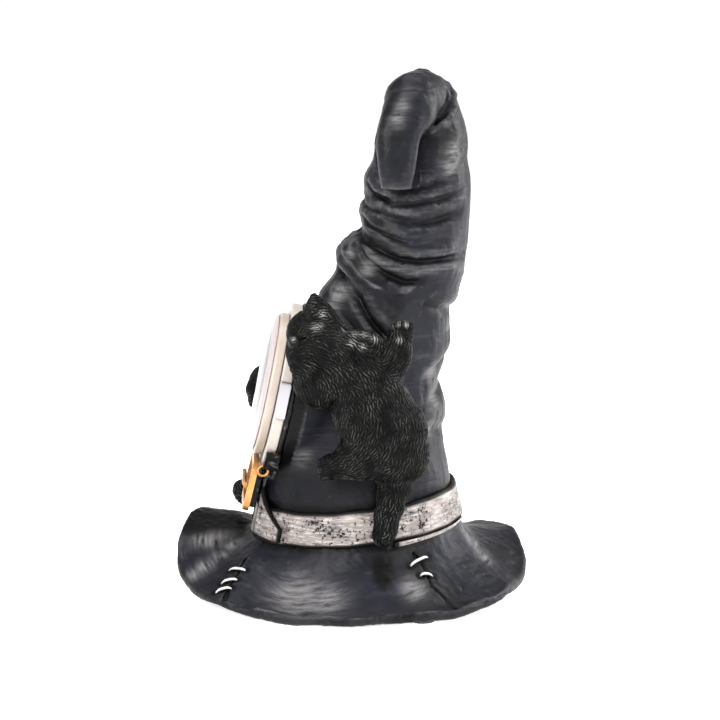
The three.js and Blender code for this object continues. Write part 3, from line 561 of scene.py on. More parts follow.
def hat_field(p):
    x, y, z = p.T
    mid, deep, half = section(z)
    q = np.hypot(x / half, (y - mid) / deep)
    cone = (q - 1) * np.minimum(deep, half) * 0.97
    cone = np.maximum(cone, (z - HAT_TOP) * 0.9)
    hollow = np.maximum(cone + WALL, z - HOLLOW_TOP)
    angle, share = brim_share(x, y)
    top = brim_top(angle, share)
    across = np.abs(z - top + BRIM_THICK / 2) * 0.86 - BRIM_THICK / 2
    a, b = across + BRIM_ROUND, (share - 1) * BRIM_WIDE + BRIM_ROUND
    brim = np.minimum(np.maximum(a, b), 0) + np.hypot(np.maximum(a, 0), np.maximum(b, 0))
    brim = brim - BRIM_ROUND
    out = smin(np.maximum(cone, BRIM_ROOT - BRIM_THICK - z), brim, 5)
    # the socket's boss
    around, depth = from_clock(p)
    flank = np.interp(depth, [-BOSS_BACK, -16, -BOSS_FACE], [26.5, 33.8, 33.8])
    boss = np.maximum(around - flank, np.maximum(depth + BOSS_FACE, -BOSS_BACK - depth))
    bore = np.where(depth > -25, BORE_R, 24)
    out = smin(out, boss, 4)
    out = np.maximum(out, -hollow)
    out = np.maximum(out, np.minimum(bore - around, depth + 40))
    out = np.maximum(out, np.minimum(BOSS_CLEAR - around, depth + BOSS_FACE))
    # the tip
    high = z > 158
    if high.any():
        t, old = p[high], out[high]
        limbs = limb(t, CURL_LINE, CURL_R, 1.5)
        row = [np.interp(t[:, 2], TAIL_LEVELS, column) for column in TAIL_ROWS]
        fall = ((np.abs(t[:, 0] - row[0]) / row[2]) ** TAIL_POWER
                + (np.abs(t[:, 1] - row[1]) / row[3]) ** TAIL_POWER) ** (1 / TAIL_POWER)
        ends = np.maximum(TAIL[0, 0] - t[:, 2], t[:, 2] - TAIL_TOP)
        tail = np.maximum((fall - 1) * row[2], ends)
        tail = smax(tail, 4.6 - norm((t - (27.4, 15.3, 159.2)), axis=1), 0.8)
        tip = smin(limbs, tail, 4)
        joined = smin(old, tip, 0.6 + 1.8 * smoothstep(194, 203, t[:, 2]))
        joined = smin(joined, limb(t, HOOD, [0.6, 1.1, 1.6, 1.7, 1.7, 1.6, 1.4, 0.9], 1), 1.3)
        joined = smax(joined, -limb(t, HOOD_CREASE, [0.2, 0.9, 1.3, 1.3, 1.1, 0.5], 0.5), 1.4)
        out[high] = joined
    low = (z < 30) & (out < 4)
    if low.any():
        t = p[low]
        for line in CRACKS:
            out[low] = smax(out[low], -limb(t, line, np.linspace(0.75, 0.55, len(line)), 0.3), 0.4)
    return out


# Folds: points (y, z), depth of the crease, its width, and the swell above and below it. They
# are laid on the near side and mirrored, a little wavier, on the far side.
FOLDS = [
    ([(9.6, 152.6), (14.6, 150.8), (20.2, 149.2), (26.6, 148.8), (33.2, 150), (40.4, 152.8)],
     1.35, 1.6, 0.5, 0.6),
    ([(1.6, 145), (5.4, 141.2), (9.6, 138.4), (16.6, 135.6), (23.2, 134.4), (32.2, 134.6),
      (42.2, 135.4)], 2.3, 1.4, 1, 1.5),
    ([(2.5, 139.4), (7.5, 132.6), (12.2, 129), (18.2, 126.6), (25.2, 126.4)], 1.9, 1.3, 0.8, 1.1),
    ([(-6.4, 131), (-4, 126.4), (1.4, 119.8), (6.4, 111), (12.8, 104.4)], 2.3, 1.5, 2, 0.2),
    ([(-3.8, 138.6), (-0.2, 133), (3.2, 129), (6.8, 125.2), (10.8, 122.8)], -1.1, 1.1, -0.5, -0.3),
    ([(8.6, 159), (15.2, 155.6), (23.2, 156), (34.2, 158.4), (44.2, 161.6)], 0.9, 1.2, 0.5, 0.6),
    ([(8.2, 168), (15.2, 162), (28.2, 162.8), (42.2, 171)], 0.7, 1.4, 0.5, 0.5),
    ([(31.2, 172), (38.2, 175), (44.2, 181)], 0.7, 1.5, 0.4, 0.4),
    ([(38.8, 97), (32.2, 91.6), (26.2, 89)], 1.1, 1.8, 0.5, 0.6),
    ([(36.2, 65.2), (29.2, 68), (23.2, 72)], 0.9, 1.8, 0.5, 0.5),
    ([(39.2, 113), (32.2, 115.6), (25.2, 118)], 1.2, 1.7, 0.6, 0.6),
    ([(34.2, 83.5), (28.2, 79), (22.2, 77)], 0.7, 1.8, 0.4, 0.4),
    ([(-10.8, 121), (-6.8, 117), (-1.8, 110), (1.2, 104)], 0.8, 1.6, 0.6, 0.4),
    ([(5.4, 163.2), (8.2, 159.2), (13.1, 157.4)], 0.9, 0.8, 0.5, 0.5),
    ([(9.8, 182), (8.8, 177), (9.6, 170), (11.6, 163.4)], 0.6, 0.7, 0.4, 0.3),
    ([(3.4, 150.2), (6.9, 146.8), (12.1, 144), (19.9, 141.6)], 0.9, 0.8, 0.5, 0.4),
    ([(2.4, 155.6), (6.2, 153.4), (11.4, 152.6)], 0.7, 0.8, 0.5, 0.4),
]

# Folds on the far side only, up round the tip.
FAR_FOLDS = [
    ([(13.5, 186), (19, 193), (26, 196.8), (33.4, 196)], 1.6, 1.3, 0.9, 0.6),
    ([(40.6, 176), (36, 183.6), (30, 188), (22.6, 188.4), (15.4, 180)], 1.7, 1.4, 1, 0.6),
    ([(12.4, 172), (20, 177.4), (30, 179), (41.4, 172.6)], 1.3, 1.3, 0.8, 0.5),
]


def folds(p):
    """How far each fold pushes the cone's surface out at a point."""
    x, y, z = p.T
    mid, deep, _ = section(z)
    u = np.arcsin(np.clip((y - mid) / deep, -1, 1)) * deep
    z = z + np.where(x < 0, 2.2 * np.cos(u * 0.07), 0)
    total = np.zeros(len(p))
    for index, (line, depth, width, above, below) in enumerate(FOLDS + FAR_FOLDS):
        spots = []
        for yy, zz in line:
            m, d, _ = section(zz)
            spots.append((asin(max(-1, min(1, (yy - m) / d))) * float(d), zz))
        spots = np.array(spots)
        best = np.full(len(p), 1e9)
        signed, along = np.zeros(len(p)), np.zeros(len(p))
        for i, (a, b) in enumerate(zip(spots, spots[1:])):
            way = b - a
            t = np.clip(((u - a[0]) * way[0] + (z - a[1]) * way[1]) / (way @ way), 0, 1)
            du, dz = u - a[0] - t * way[0], z - a[1] - t * way[1]
            d = np.hypot(du, dz)
            side = np.sign(way[0] * dz - way[1] * du) * copysign(1, way[0])
            closer = d < best
            best = np.where(closer, d, best)
            signed = np.where(closer, side * d, signed)
            along = np.where(closer, (i + t) / (len(spots) - 1), along)
        fade = smoothstep(0, 0.16, along) * smoothstep(1, 0.84, along) + 0.25
        push = -depth * np.exp(-(signed / width) ** 2)
        push += above * np.exp(-((signed - 2.6 * width) / (1.9 * width)) ** 2)
        push += below * np.exp(-((signed + 2.6 * width) / (1.9 * width)) ** 2)
        here = 1 if index < len(FOLDS) else smoothstep(2, -4, x)
        total += push * np.clip(fade, 0, 1) * here
    return total


# Pale patches painted on the hat, partly drybrush and partly painted highlight, and below painted
# highlights on the near cat: place and reach.
DRYBRUSH_AND_HIGHLIGHT_SPOTS = [(on_brim(angle, share), reach) for angle, share, reach in (
    (-72, 0.9, 3.6), (-74, 0.72, 3.4), (-78, 0.5, 3.4), (-84, 0.3, 3.6), (-30, 0.5, 9),
    (-22, 0.66, 7), (-12, 0.6, 6), (24, 0.5, 5), (80, 0.05, 4.6), (75, 0.22, 4.6), (70, 0.44, 4),
    (-98, 0.52, 6), (-90, 0.66, 5),
)]
DRYBRUSH_AND_HIGHLIGHT_SPOTS += [(on_hat(y, z), reach) for y, z, reach in (
    (-5.7, 121.4, 4.6), (-8.4, 117, 3), (-1.6, 135.6, 3), (5.2, 131.4, 3), (36, 170, 3.8),
    (38, 176, 3.4), (-21, 60, 4), (30, 91, 4.2), (31, 79, 3.6), (29, 68, 3.2),
)]
DRYBRUSH_AND_HIGHLIGHT_SPOTS += [((26, 19.2, 201.5), 3), ((27.6, 16.8, 195), 3), ((28.6, 15.2, 189), 3)]
# Painted highlights on the near cat's head, nape, paw and leg.
FUR_HIGHLIGHT_SPOTS = [
    ((45.4, -16.4, 112.4), 1.5), ((44.6, -14.4, 112.8), 1.1), ((43.6, -13.6, 117.2), 1.4),
    ((47.8, -24.8, 108.6), 0.9), ((38, -4.6, 111), 1.6), ((39.6, -1.4, 110), 1.7),
    ((40, 2.6, 109.4), 1.6), ((40, 6.4, 107.4), 1.5), ((42, -2.6, 106), 1.5),
    ((43, 1.6, 104.6), 1.3), ((38.8, 13.4, 111.8), 1), ((39.4, 16, 112.6), 1),
    ((39, 18.8, 112.2), 1), ((39.8, 15.6, 106.4), 1.2), ((40.6, 19.5, 88), 1.4),
    ((41.6, 22.6, 84), 1.4),
]


def glow_on(p, spots):
    total = np.zeros(len(p))
    for at, reach in spots:
        total += np.exp(-((p - at) ** 2).sum(1) / reach**2)
    return np.clip(total, 0, 1)


def ink_on(p):
    """Where the hat is blackened: along the belt, towards the brim's edge, the cracks and stitches,
    and round the socket; and a painted shadow on the brim under the near cat's tail.
    """
    x, y, z = p.T
    mid, deep, half = section(z)
    a = np.arctan2((y - mid) / deep, x / half)
    off = np.abs(z - (BELT_MID + BELT_TILT * np.sin(a)))
    ink_and_shade = smoothstep(10, 7.2, off) * (np.hypot(x / half, (y - mid) / deep) > 0.9)
    _, share = brim_share(x, y)
    ink_and_shade = np.maximum(ink_and_shade, 0.6 * smoothstep(0.965, 1, share) * (z < 30))
    for line in CRACKS:
        ink_and_shade = np.maximum(ink_and_shade, smoothstep(1.3, 0.7, limb(p, line, [0.3] * len(line), 0.1)))
    for a0, s0, a1, s1 in STITCHES:
        ends = [on_brim(a0, s0), on_brim(a1, s1)]
        ink_and_shade = np.maximum(ink_and_shade, smoothstep(1, 0.4, limb(p, ends, [0.9, 0.9], 0.1)))
        for end in ends:
            ink_and_shade = np.maximum(ink_and_shade, smoothstep(2.1, 1.4, norm(p - end, axis=1)))
    around, depth = from_clock(p)
    ink_and_shade = np.maximum(ink_and_shade, smoothstep(37.5, 36, around) * (depth > -15))
    # painted shadow on the brim under the near cat's tail
    shadow = norm((p - (50, 9.4, 20)) / (11, 5, 8), axis=1)
    return np.maximum(ink_and_shade, smoothstep(1.3, 0.7, shadow))


def hat():
    verts, quads = nets(hat_field, (-63, -71.5, -1), (64, 71.5, 209), HAT_STEP)
    around, depth = from_clock(verts)
    near_socket = np.exp(-np.maximum(around - 31, 0) / 3) * (depth > -40)
    mid, deep, half = section(verts[:, 2])
    skin = np.hypot(verts[:, 0] / half, (verts[:, 1] - mid) / deep) > 0.96
    tail = (verts[:, 2] > 162) & (verts[:, 0] > 17.5) & (verts[:, 1] < 24.6)
    amount = (skin & ~tail) * smoothstep(36, 48, verts[:, 2]) * smoothstep(205, 198, verts[:, 2])
    normal = normals_of(verts, quads)
    push = folds(verts) * amount
    push += waves(verts, 22, 0.32, 3) * (verts[:, 2] > 4) * skin
    push += waves(verts * (1, 1, 0.35), 5, 0.055, 4) + waves(verts, 2.6, 0.03, 5)
    keep = 1 - np.clip(near_socket, 0, 1)
    verts = verts + normal * (push * keep)[:, None]
    verts[:, 2] = np.maximum(verts[:, 2], 0.15)
    # small casting pits
    tree = tree_of(verts)
    normal = normals_of(verts, quads)
    move = np.zeros(len(verts))
    for i in rng.integers(0, len(verts), 260):
        r = rng.uniform(0.5, 1)
        for _, j, d in tree.find_range(verts[i], r):
            move[j] = min(move[j], -0.35 * (1 - (d / r) ** 2))
    verts = verts + normal * (move * keep)[:, None]
    x, y, z = verts.T
    around = np.arctan2(y - np.interp(z, LEVELS, (FRONT + BACK) / 2), x)
    low = (z < 27)[:, None]
    cone_flow = np.stack([1.3 * np.cos(around), 1.3 * np.sin(around), z * 0.42], 1)
    brim_flow = np.stack([3.2 * np.cos(around), 3.2 * np.sin(around),
                          np.hypot(x, y) * 0.40 + 2.4 * np.sin(around)], 1)
    shade = {"flow": np.where(low, brim_flow, cone_flow), "ridge": ridge_of(verts, quads, 26),
             "fine": ridge_of(verts, quads, 3), "ink_and_shade": ink_on(verts), "highlight_and_drybrush": glow_on(verts, DRYBRUSH_AND_HIGHLIGHT_SPOTS)}
    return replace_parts(make("hat", verts, quads, HAT, shade), "hat_shell")


# ---- cats
NEAR_CAT = [  # middle, half sizes, and any turns about X, Y and Z in degrees
    ((38, -18.2, 109), (8.6, 8.9, 9.2), -10),  # skull
    ((45.6, -24.2, 107.2), (3, 2.4, 2.4)),  # nose
    ((41.2, -22.4, 102.6), (5.4, 5, 6), -12),  # cheeks
    ((40.2, -22.2, 98.2), (4.2, 4, 4.2)),  # chin
    ((42.4, -16.8, 112.6), (3.6, 4.4, 1.9), 25),  # brow
    ((37.4, -12.6, 104), (8.6, 9.2, 11.2), 20),  # nape
    ((36, -8.1, 96), (10, 11, 11.5), 25),  # neck
    ((35.6, 0.8, 102.2), (7.2, 11, 7.8), -4),  # mane
    ((38.5, -18.4, 96), (6.5, 6.8, 7)),  # throat
    ((38.6, -15.4, 90.4), (7.6, 9.2, 10), 12),  # chest
    ((36.5, 2.9, 89.5), (10.6, 14, 14), 35),  # shoulders
    ((36.5, 5.4, 80), (11.4, 15.5, 15), 20),  # ribs
    ((37, 9.9, 70), (11.8, 17, 16.5)),  # belly and back
    ((36.5, 14.1, 61), (10.8, 13.6, 11.5)),  # rump
    ((41.6, 1.2, 61.4), (7, 10.2, 8.6), -12),  # near thigh
    ((41.5, -5.8, 58.6), (5.2, 6.6, 5), -10),  # near hock
    ((40, -11.1, 57.6), (4.2, 3.6, 4.9), 8),  # near hind foot
    ((37.4, 12.6, 97), (6, 6.6, 10.5), -32),  # near upper arm
    ((35.2, 15.8, 103), (5, 4.8, 7), -8),  # near fore arm
    ((34.4, 16.6, 108.6), (4.6, 5, 4.2)),  # near paw
    ((35, -17.8, 93.6), (5, 4.6, 5)),  # far arm, reaching to the clock
    ((37.4, 14.6, 51), (5.6, 6.6, 8.2), 14),  # root of the tail
    ((39.6, 12.5, 44), (4.6, 5.4, 8), 10),  # tail, above the belt
    ((41, 10.7, 36.5), (4.2, 4.8, 7), 8),  # tail, over the belt
    ((41.2, 9.8, 31), (3.8, 4.4, 4.8)),  # tip of the tail
]
NEAR_TOES = [(36.2, 13.5, 110.6), (37.2, 15.5, 111.8), (37.4, 18, 111.8), (36.2, 19.9, 110.6),
             (41, -13.5, 54.6), (42.4, -12.2, 54), (41.6, -14, 57), (40, -14.5, 59)]
# Which way the fur lies: a place and a direction there.
NEAR_LAY = [
    ((40, -21.9, 108), (0, 0.5, 0.6)), ((42, -15.8, 103), (0, 0.6, -0.5)),
    ((40, -9.9, 108), (0, 0.9, -0.4)), ((42, -5.8, 100), (0, 0.8, -0.7)),
    ((40, -11.9, 88), (0, 0.15, -1)), ((44, -1.7, 88), (0, 0.3, -1)),
    ((44, 6.3, 92), (0, 0.55, -0.8)), ((38, 14, 98), (0, 0.3, 1)), ((38, 16, 106), (0, 0, 1)),
    ((46, 4.4, 78), (0, 0.25, -1)), ((44, 16.3, 80), (0, 0.35, -1)),
    ((40, 24.1, 72), (0, 0.1, -1)), ((46, -5.6, 72), (0, -0.3, -1)),
    ((48, 6.5, 68), (0, -0.1, -1)), ((44, 20.3, 62), (0, -0.3, -1)),
    ((46, 0.4, 60), (0, -1, -0.35)), ((42, -7.8, 57), (0, -0.9, -0.4)),
    ((40, 14.1, 50), (0, -0.2, -1)), ((42, 11.2, 36), (0, -0.15, -1)),
]
FAR_CAT = [
    ((-36.6, -33.1, 76.2), (8, 8.2, 8.2), 10),  # skull
    ((-35.2, -39, 73.8), (4.2, 3.6, 3.4)),  # muzzle
    ((-35.8, -38.2, 69.6), (3.5, 3.5, 4)),  # chin
    ((-37.5, -26.5, 67), (7.8, 8.6, 9.6), 25),  # neck and chest
    ((-38, -21, 57), (9.6, 11, 12.6), 12),  # body
    ((-38.6, -19, 46), (10, 11.4, 9.6)),  # rump
    ((-41.5, -28.2, 43.4), (5.6, 6.6, 7.2)),  # thigh
    ((-39.8, -34.9, 38.6), (3.8, 4.6, 3.4)),  # hind foot
    ((-34.4, -34.2, 63.4), (3.6, 4.2, 6.2), 35),  # arm to the clock
    ((-36, -17.9, 79.6), (4.2, 4.2, 6.6), -20),  # far arm, up the hat
    ((-35, -32.8, 33.6), (4.2, 6.6, 4.1), 25, 0, 25),  # tail, over the belt
    ((-25.8, -42.6, 32.4), (7.6, 4.2, 5.4), 0, 10, 38),  # tail, round the front
]
FAR_TOES = [(-41.4, -38.4, 37.4), (-39.8, -38.9, 37), (-38, -38.4, 37.4), (-37.6, -15.6, 85.6),
            (-36, -14.7, 86)]
FAR_LAY = [
    ((-40, -33.1, 78), (0, 0.6, 0.4)), ((-42, -28.2, 68), (0, 0.4, -0.9)),
    ((-46, -22.4, 58), (0, 0.2, -1)), ((-46, -20.4, 46), (0, -0.3, -1)),
    ((-44, -30.3, 42), (0, -0.9, -0.4)), ((-36, -35.9, 33), (0.6, -0.7, 0)),
    ((-26, -45.4, 32), (0.9, -0.3, 0)),
]


def ear(p, base, tip, width, thick, facing):
    """A pointed ear: a flattened cone with a hollow on its facing side."""
    base, tip, facing = (np.array(v, float) for v in (base, tip, facing))
    up = (tip - base) / norm(tip - base)
    facing -= up * (facing @ up)
    facing /= norm(facing)
    side = np.cross(up, facing)
    rel = p - base
    h = rel @ up / norm(tip - base)
    taper = np.clip(1 - h, 0.04, 1.3) ** 0.62
    q = np.hypot((rel @ side) / (width * taper), (rel @ facing) / (thick * taper + 0.3))
    body = np.maximum((q - 1) * thick * taper * 1.2, np.maximum((h - 1), -h - 0.4) * 4)
    cup = norm((rel - up * 2.2 - facing * (thick + 0.5))
               / (width * 0.62, width * 0.62, width * 0.9), axis=1)
    return smax(body, -(cup - 1) * 1.5, 0.5)


def cat(name, masses, toes, ears, eyes, lay, tuft_count, box):
    def field(p):
        out = np.full(len(p), 1e3)
        for mass in masses:
            out = smin(out, ellipsoid(p, *mass), 1.9)
        for toe in toes:
            out = smin(out, ellipsoid(p, toe, (1.5, 1.5, 2)), 0.5)
        for base, tip, width, thick, facing in ears:
            out = smin(out, ear(p, base, tip, width, thick, facing), 0.9)
        for at in eyes:
            out = smax(out, -ellipsoid(p, at, (0.8, 1.4, 0.4), 28), 0.5)
        return out

    verts, quads = nets(field, box[0], box[1], CAT_STEP)
    bare = [(toe, 5) for toe in toes] + [(masses[0][0], 110), (masses[1][0], 16)]
    verts = comb(verts, quads, lay, tuft_count, bare)
    painted_low_shade = 0.15 * smoothstep(53, 44, verts[:, 2])  # painted shade: the tail and the low parts are darkened
    shade = {"fine": ridge_of(verts, quads, 3), "ridge": ridge_of(verts, quads, 12) - painted_low_shade,
             "highlight_and_drybrush": glow_on(verts, FUR_HIGHLIGHT_SPOTS)}
    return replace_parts(make(name, verts, quads, FUR, shade), name)


def comb(verts, quads, lay, count, bare):
    """Locks of fur: short curved ridges with grooves between them, along the lay of the coat."""
    seeded = np.random.default_rng(count)
    normal = normals_of(verts, quads)
    places, ways = np.array([a for a, _ in lay], float), np.array([b for _, b in lay], float)
    ways /= norm(ways, axis=1, keepdims=True)
    tree = tree_of(verts)
    lift = np.zeros(len(verts))
    for i in seeded.integers(0, len(verts), count):
        p, n = verts[i], normal[i]
        weight = np.exp(-((places - p) ** 2).sum(1) / 60) + 1e-9
        way = (ways * weight[:, None]).sum(0)
        way -= n * (way @ n)
        size = norm(way)
        if size < 1e-3:
            continue
        way /= size
        across = np.cross(n, way)
        turn = seeded.normal() * 0.28
        way, across = (way * cos(turn) + across * sin(turn),
                       across * cos(turn) - way * sin(turn))
        length, width = seeded.uniform(1.1, 2.2), seeded.uniform(0.34, 0.50)
        bend = seeded.normal() * 0.06
        near = [j for _, j, _ in tree.find_range(p, length + 0.3)]
        rel = verts[near] - p
        s = rel @ way
        c = rel @ across + bend * s * s
        taper = np.clip(1 - (s / length) ** 2, 0, 1)
        lock = (0.26 * np.exp(-(c / (width * 0.7)) ** 2)
                - 0.34 * np.exp(-((np.abs(c) - width * 1.25) / (width * 0.45)) ** 2)) * taper
        lift[near] = np.where(np.abs(c) < width * 1.9, 0.45 * lift[near] + lock, lift[near])
    smooth_at = np.ones(len(verts))
    for spot, reach in bare:
        smooth_at *= 1 - 0.8 * np.exp(-((verts - spot) ** 2).sum(1) / reach)
    return verts + normal * (lift * smooth_at)[:, None]


def near_cat():
    ears = [((40.8, -14.6, 114.6), (41.2, -17, 124.8), 7.4, 2.9, (-1, -0.1, 0.1)),
            ((33, -12.6, 112.6), (31.8, -13.4, 120.8), 4.6, 2.4, (-0.3, -0.95, 0.1))]
    eyes = [(46, -20.4, 108.7), (36.6, -28.2, 108.6)]
    return cat("cat_climbing", NEAR_CAT, NEAR_TOES, ears, eyes, NEAR_LAY, 9000,
               ((24, -34, 24), (58, 35, 128)))


def far_cat():
    ears = [((-33.2, -30, 82.6), (-31.9, -29.2, 89), 2.9, 1.7, (0.5, -0.8, 0.1)),
            ((-42, -28.4, 81.6), (-43, -27.4, 88), 2.9, 1.7, (-0.9, -0.4, 0.1))]
    eyes = [(-32.2, -38, 77.4), (-39.6, -37.4, 77.2)]
    return cat("cat_peeking", FAR_CAT, FAR_TOES, ears, eyes, FAR_LAY, 4500,
               ((-54, -50, 24), (-16, 0, 92)))


# ---- belt, flares and stitches
def sweep(name, rings, material, closed=False, edge=None):
    """A skin over rings of points; its ends are closed with caps unless it runs right round."""
    rings = np.array(rings)
    count, size = rings.shape[:2]
    verts = rings.reshape(-1, 3)
    faces = []
    for i in range(count if closed else count - 1):
        a, b = i * size, (i + 1) % count * size
        faces += [(a + j, b + j, b + (j + 1) % size, a + (j + 1) % size) for j in range(size)]
    if not closed:
        faces += [tuple(range(size)), tuple((count - 1) * size + j for j in range(size))[::-1]]
    shade = {} if edge is None else {"edge": np.asarray(edge, float).ravel()}
    return make(name, verts, faces, material, shade)


def belt_ring(a, low, high, near, far, lip=0.55):
    """A strip's section round the cone at that angle: points, and how near an edge each is."""
    # share of the strip's width, and how far the face is sunk there as a share of the lip
    face = [(0, 1), (0.02, 0.5), (0.06, 0.1), (0.1, 0), (0.14, 0.16), (0.3, 0.05), (0.5, 0),
            (0.7, 0.05), (0.86, 0.16), (0.9, 0), (0.94, 0.1), (0.98, 0.5), (1, 1)]
    rows = [(share, far - lip * sunk, abs(share - 0.5) * 2) for share, sunk in face]
    rows += [(share, near, 1) for share in (1, 0.5, 0)]
    points = []
    for share, lift, _ in rows:
        z = low + (high - low) * share
        mid, deep, half = section(z)
        points.append((cos(a) * (half + lift), mid + sin(a) * (deep + lift), z))
    return points, [mark for _, _, mark in rows]


def strip(name, start, end, low, high, near, far, closed=False, count=220):
    rings, edge = [], []
    for i in range(count):
        share = i / (count if closed else count - 1)
        a = radians(start + (end - start) * share)
        ring, mark = belt_ring(a, low(a, share), high(a, share), near, far)
        if not closed:
            worn = max(0, 1 - min(share, 1 - share) * 3.6)
            mark = [max(m, worn) for m in mark]
        rings.append(ring)
        edge.append(mark)
    return sweep(name, rings, SILVER, closed, edge)


def belt():
    wobble = lambda a: 0.18 * sin(7 * a) + 0.12 * sin(17 * a + 1)
    middle = lambda a: BELT_MID + BELT_TILT * sin(a)
    lip = strip("belt_lip", 16, 78, lambda a, s: middle(a) - 8.9 + 1.2 * s,
                lambda a, s: middle(a) - 6.9, 0.2, 1.7, False, 80)
    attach(lip, "hat")
    obj = strip("belt", 0, 360, lambda a, s: middle(a) - BELT_HALF + wobble(a),
                lambda a, s: middle(a) + BELT_HALF + wobble(a + 2), 0.2, 2.1, True, 300)
    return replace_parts(obj, "hat_belt")


def flare(side):
    name = "belt_flare_near" if side > 0 else "belt_flare_far"
    start, end = (-73, -48) if side > 0 else (-107, -132)
    top = lambda a, s: 43.6 - 13.4 * s ** 0.9
    obj = strip(name, start, end, lambda a, s: 24.6 + 0.6 * s, top, 2.3, 3.9, False, 40)
    if side < 0:
        obj.data.flip_normals()
    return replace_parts(obj, name)


STITCHES = [  # angle and share of the brim at each end
    (-63.5, 0.56, -55, 0.46), (-59.5, 0.76, -54.5, 0.62), (-57, 0.92, -53.5, 0.76),
    (26.5, 0.14, 38.5, 0.06), (29.5, 0.28, 36, 0.3), (150, 0.35, 159, 0.4),
    (148.5, 0.56, 156.5, 0.62), (214, 0.3, 222, 0.42), (215.5, 0.5, 222.5, 0.6),
    (217, 0.7, 223, 0.8),
]


def stitch(index, row):
    """A staple of thick thread: pale along the top, dark where it goes into the brim."""
    rings, edge = [], []
    along = lambda s: on_brim(row[0] + (row[2] - row[0]) * s, row[1] + (row[3] - row[1]) * s)
    for i in range(15):
        s = i / 14
        at, ahead = along(s), along(s + 0.02)
        way = (ahead - at) / norm(ahead - at)
        rise = 1.25 * (1 - abs(2 * s - 1) ** 3.2) - 0.35
        across = np.cross(way, (0, 0, 1))
        across /= norm(across)
        up = np.cross(across, way)
        r = 0.66 * (0.75 + 0.25 * (1 - abs(2 * s - 1) ** 4))
        ring, mark = [], []
        for j in range(10):
            t = 2 * pi * j / 10
            ring.append(at + (0, 0, rise) + across * r * cos(t) + up * r * sin(t))
            mark.append(max(0, 0.45 - 0.75 * sin(t), 1.6 * (abs(2 * s - 1) - 0.62)))
        rings.append(ring)
        edge.append(mark)
    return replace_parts(sweep(f"stitch_{index}", rings, THREAD, False, edge), f"brim_stitch_{index}")


# ---- the clock
def in_clock(points):
    """Points given as right, up and out from the clock's middle."""
    return CLOCK_AT + np.asarray(points, float) @ np.array([CLOCK_RIGHT, CLOCK_UP, CLOCK_OUT])


def rounded(profile, r, steps=4):
    """A closed (radius, height) outline with each corner turned into an arc."""
    out = []
    profile = np.array(profile, float)
    for i, p in enumerate(profile):
        a, b = profile[i - 1] - p, profile[(i + 1) % len(profile)] - p
        cut = min(r, norm(a) * 0.45, norm(b) * 0.45)
        a, b = p + a / norm(a) * cut, p + b / norm(b) * cut
        for k in range(steps + 1):
            t = k / steps
            out.append((1 - t) ** 2 * a + 2 * t * (1 - t) * p + t * t * b)
    return np.array(out)


def lathe(name, profile, material, node, gap=None, segments=168, edge=None):
    """Turns an outline (radius, z) about the clock's axis, all round or leaving out a gap."""
    start, end = (0, 360) if gap is None else (gap, 360 - gap)
    count = segments + (gap is not None)
    rings = []
    for i in range(count):
        a = radians(start + (end - start) * i / segments)
        rings.append(in_clock([(cos(a) * r, sin(a) * r, z) for r, z in profile]))
    edge = None if edge is None else [edge] * count
    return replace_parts(sweep(name, rings, material, gap is None, edge), node)


DOME_R, DOME_RISE = 27.4, 3.4


def rings():
    """The turned parts of the clock and its socket that show, at full smoothness."""
    bezel = rounded([(25.3, -3.9), (28.5, -3.9), (28.5, -1), (27.9, -0.3), (23.1, -0.3),
                     (23.1, -1.7), (25.3, -1.7)], 0.45)
    collar = rounded([(29.45, -4.25), (29.45, -8.35), (32.95, -8.35), (32.95, -4.25)], 0.5)
    sleeve = rounded([(26.15, -4.25), (26.15, -20.4), (29.05, -20.4), (29.05, -4.25)], 0.4)
    trim = rounded([(29.45, -8.75), (29.45, -10.25), (33.75, -10.25), (33.75, -8.75)], 0.55)
    made = [
        (lathe("bezel", bezel, BEIGE, "clock_bezel"), "insert"),
        (lathe("collar", collar, CREAM, "socket_collar", gap=12.6), "hat"),
        (lathe("sleeve", sleeve, WHITE, "socket_sleeve"), "hat"),
        (lathe("trim_ring", trim, BLACK, "trim_ring"), "hat"),
    ]
    dome = [(DOME_R * sin(t), DOME_RISE * cos(t)) for t in np.linspace(pi / 2, 0.004, 30)]
    under = [(r * 0.955, z * 0.66) for r, z in reversed(dome)]
    lens = np.array([(DOME_R, -0.05)] + dome[1:] + under[:-1] + [(26.1, -0.05)])
    made.append((lathe("lens", lens, CLEAR, "clock_lens", edge=[r for r, _ in lens]), "insert"))
    return made


TRACK_R, NUMERAL_R = 22.4, 17.6


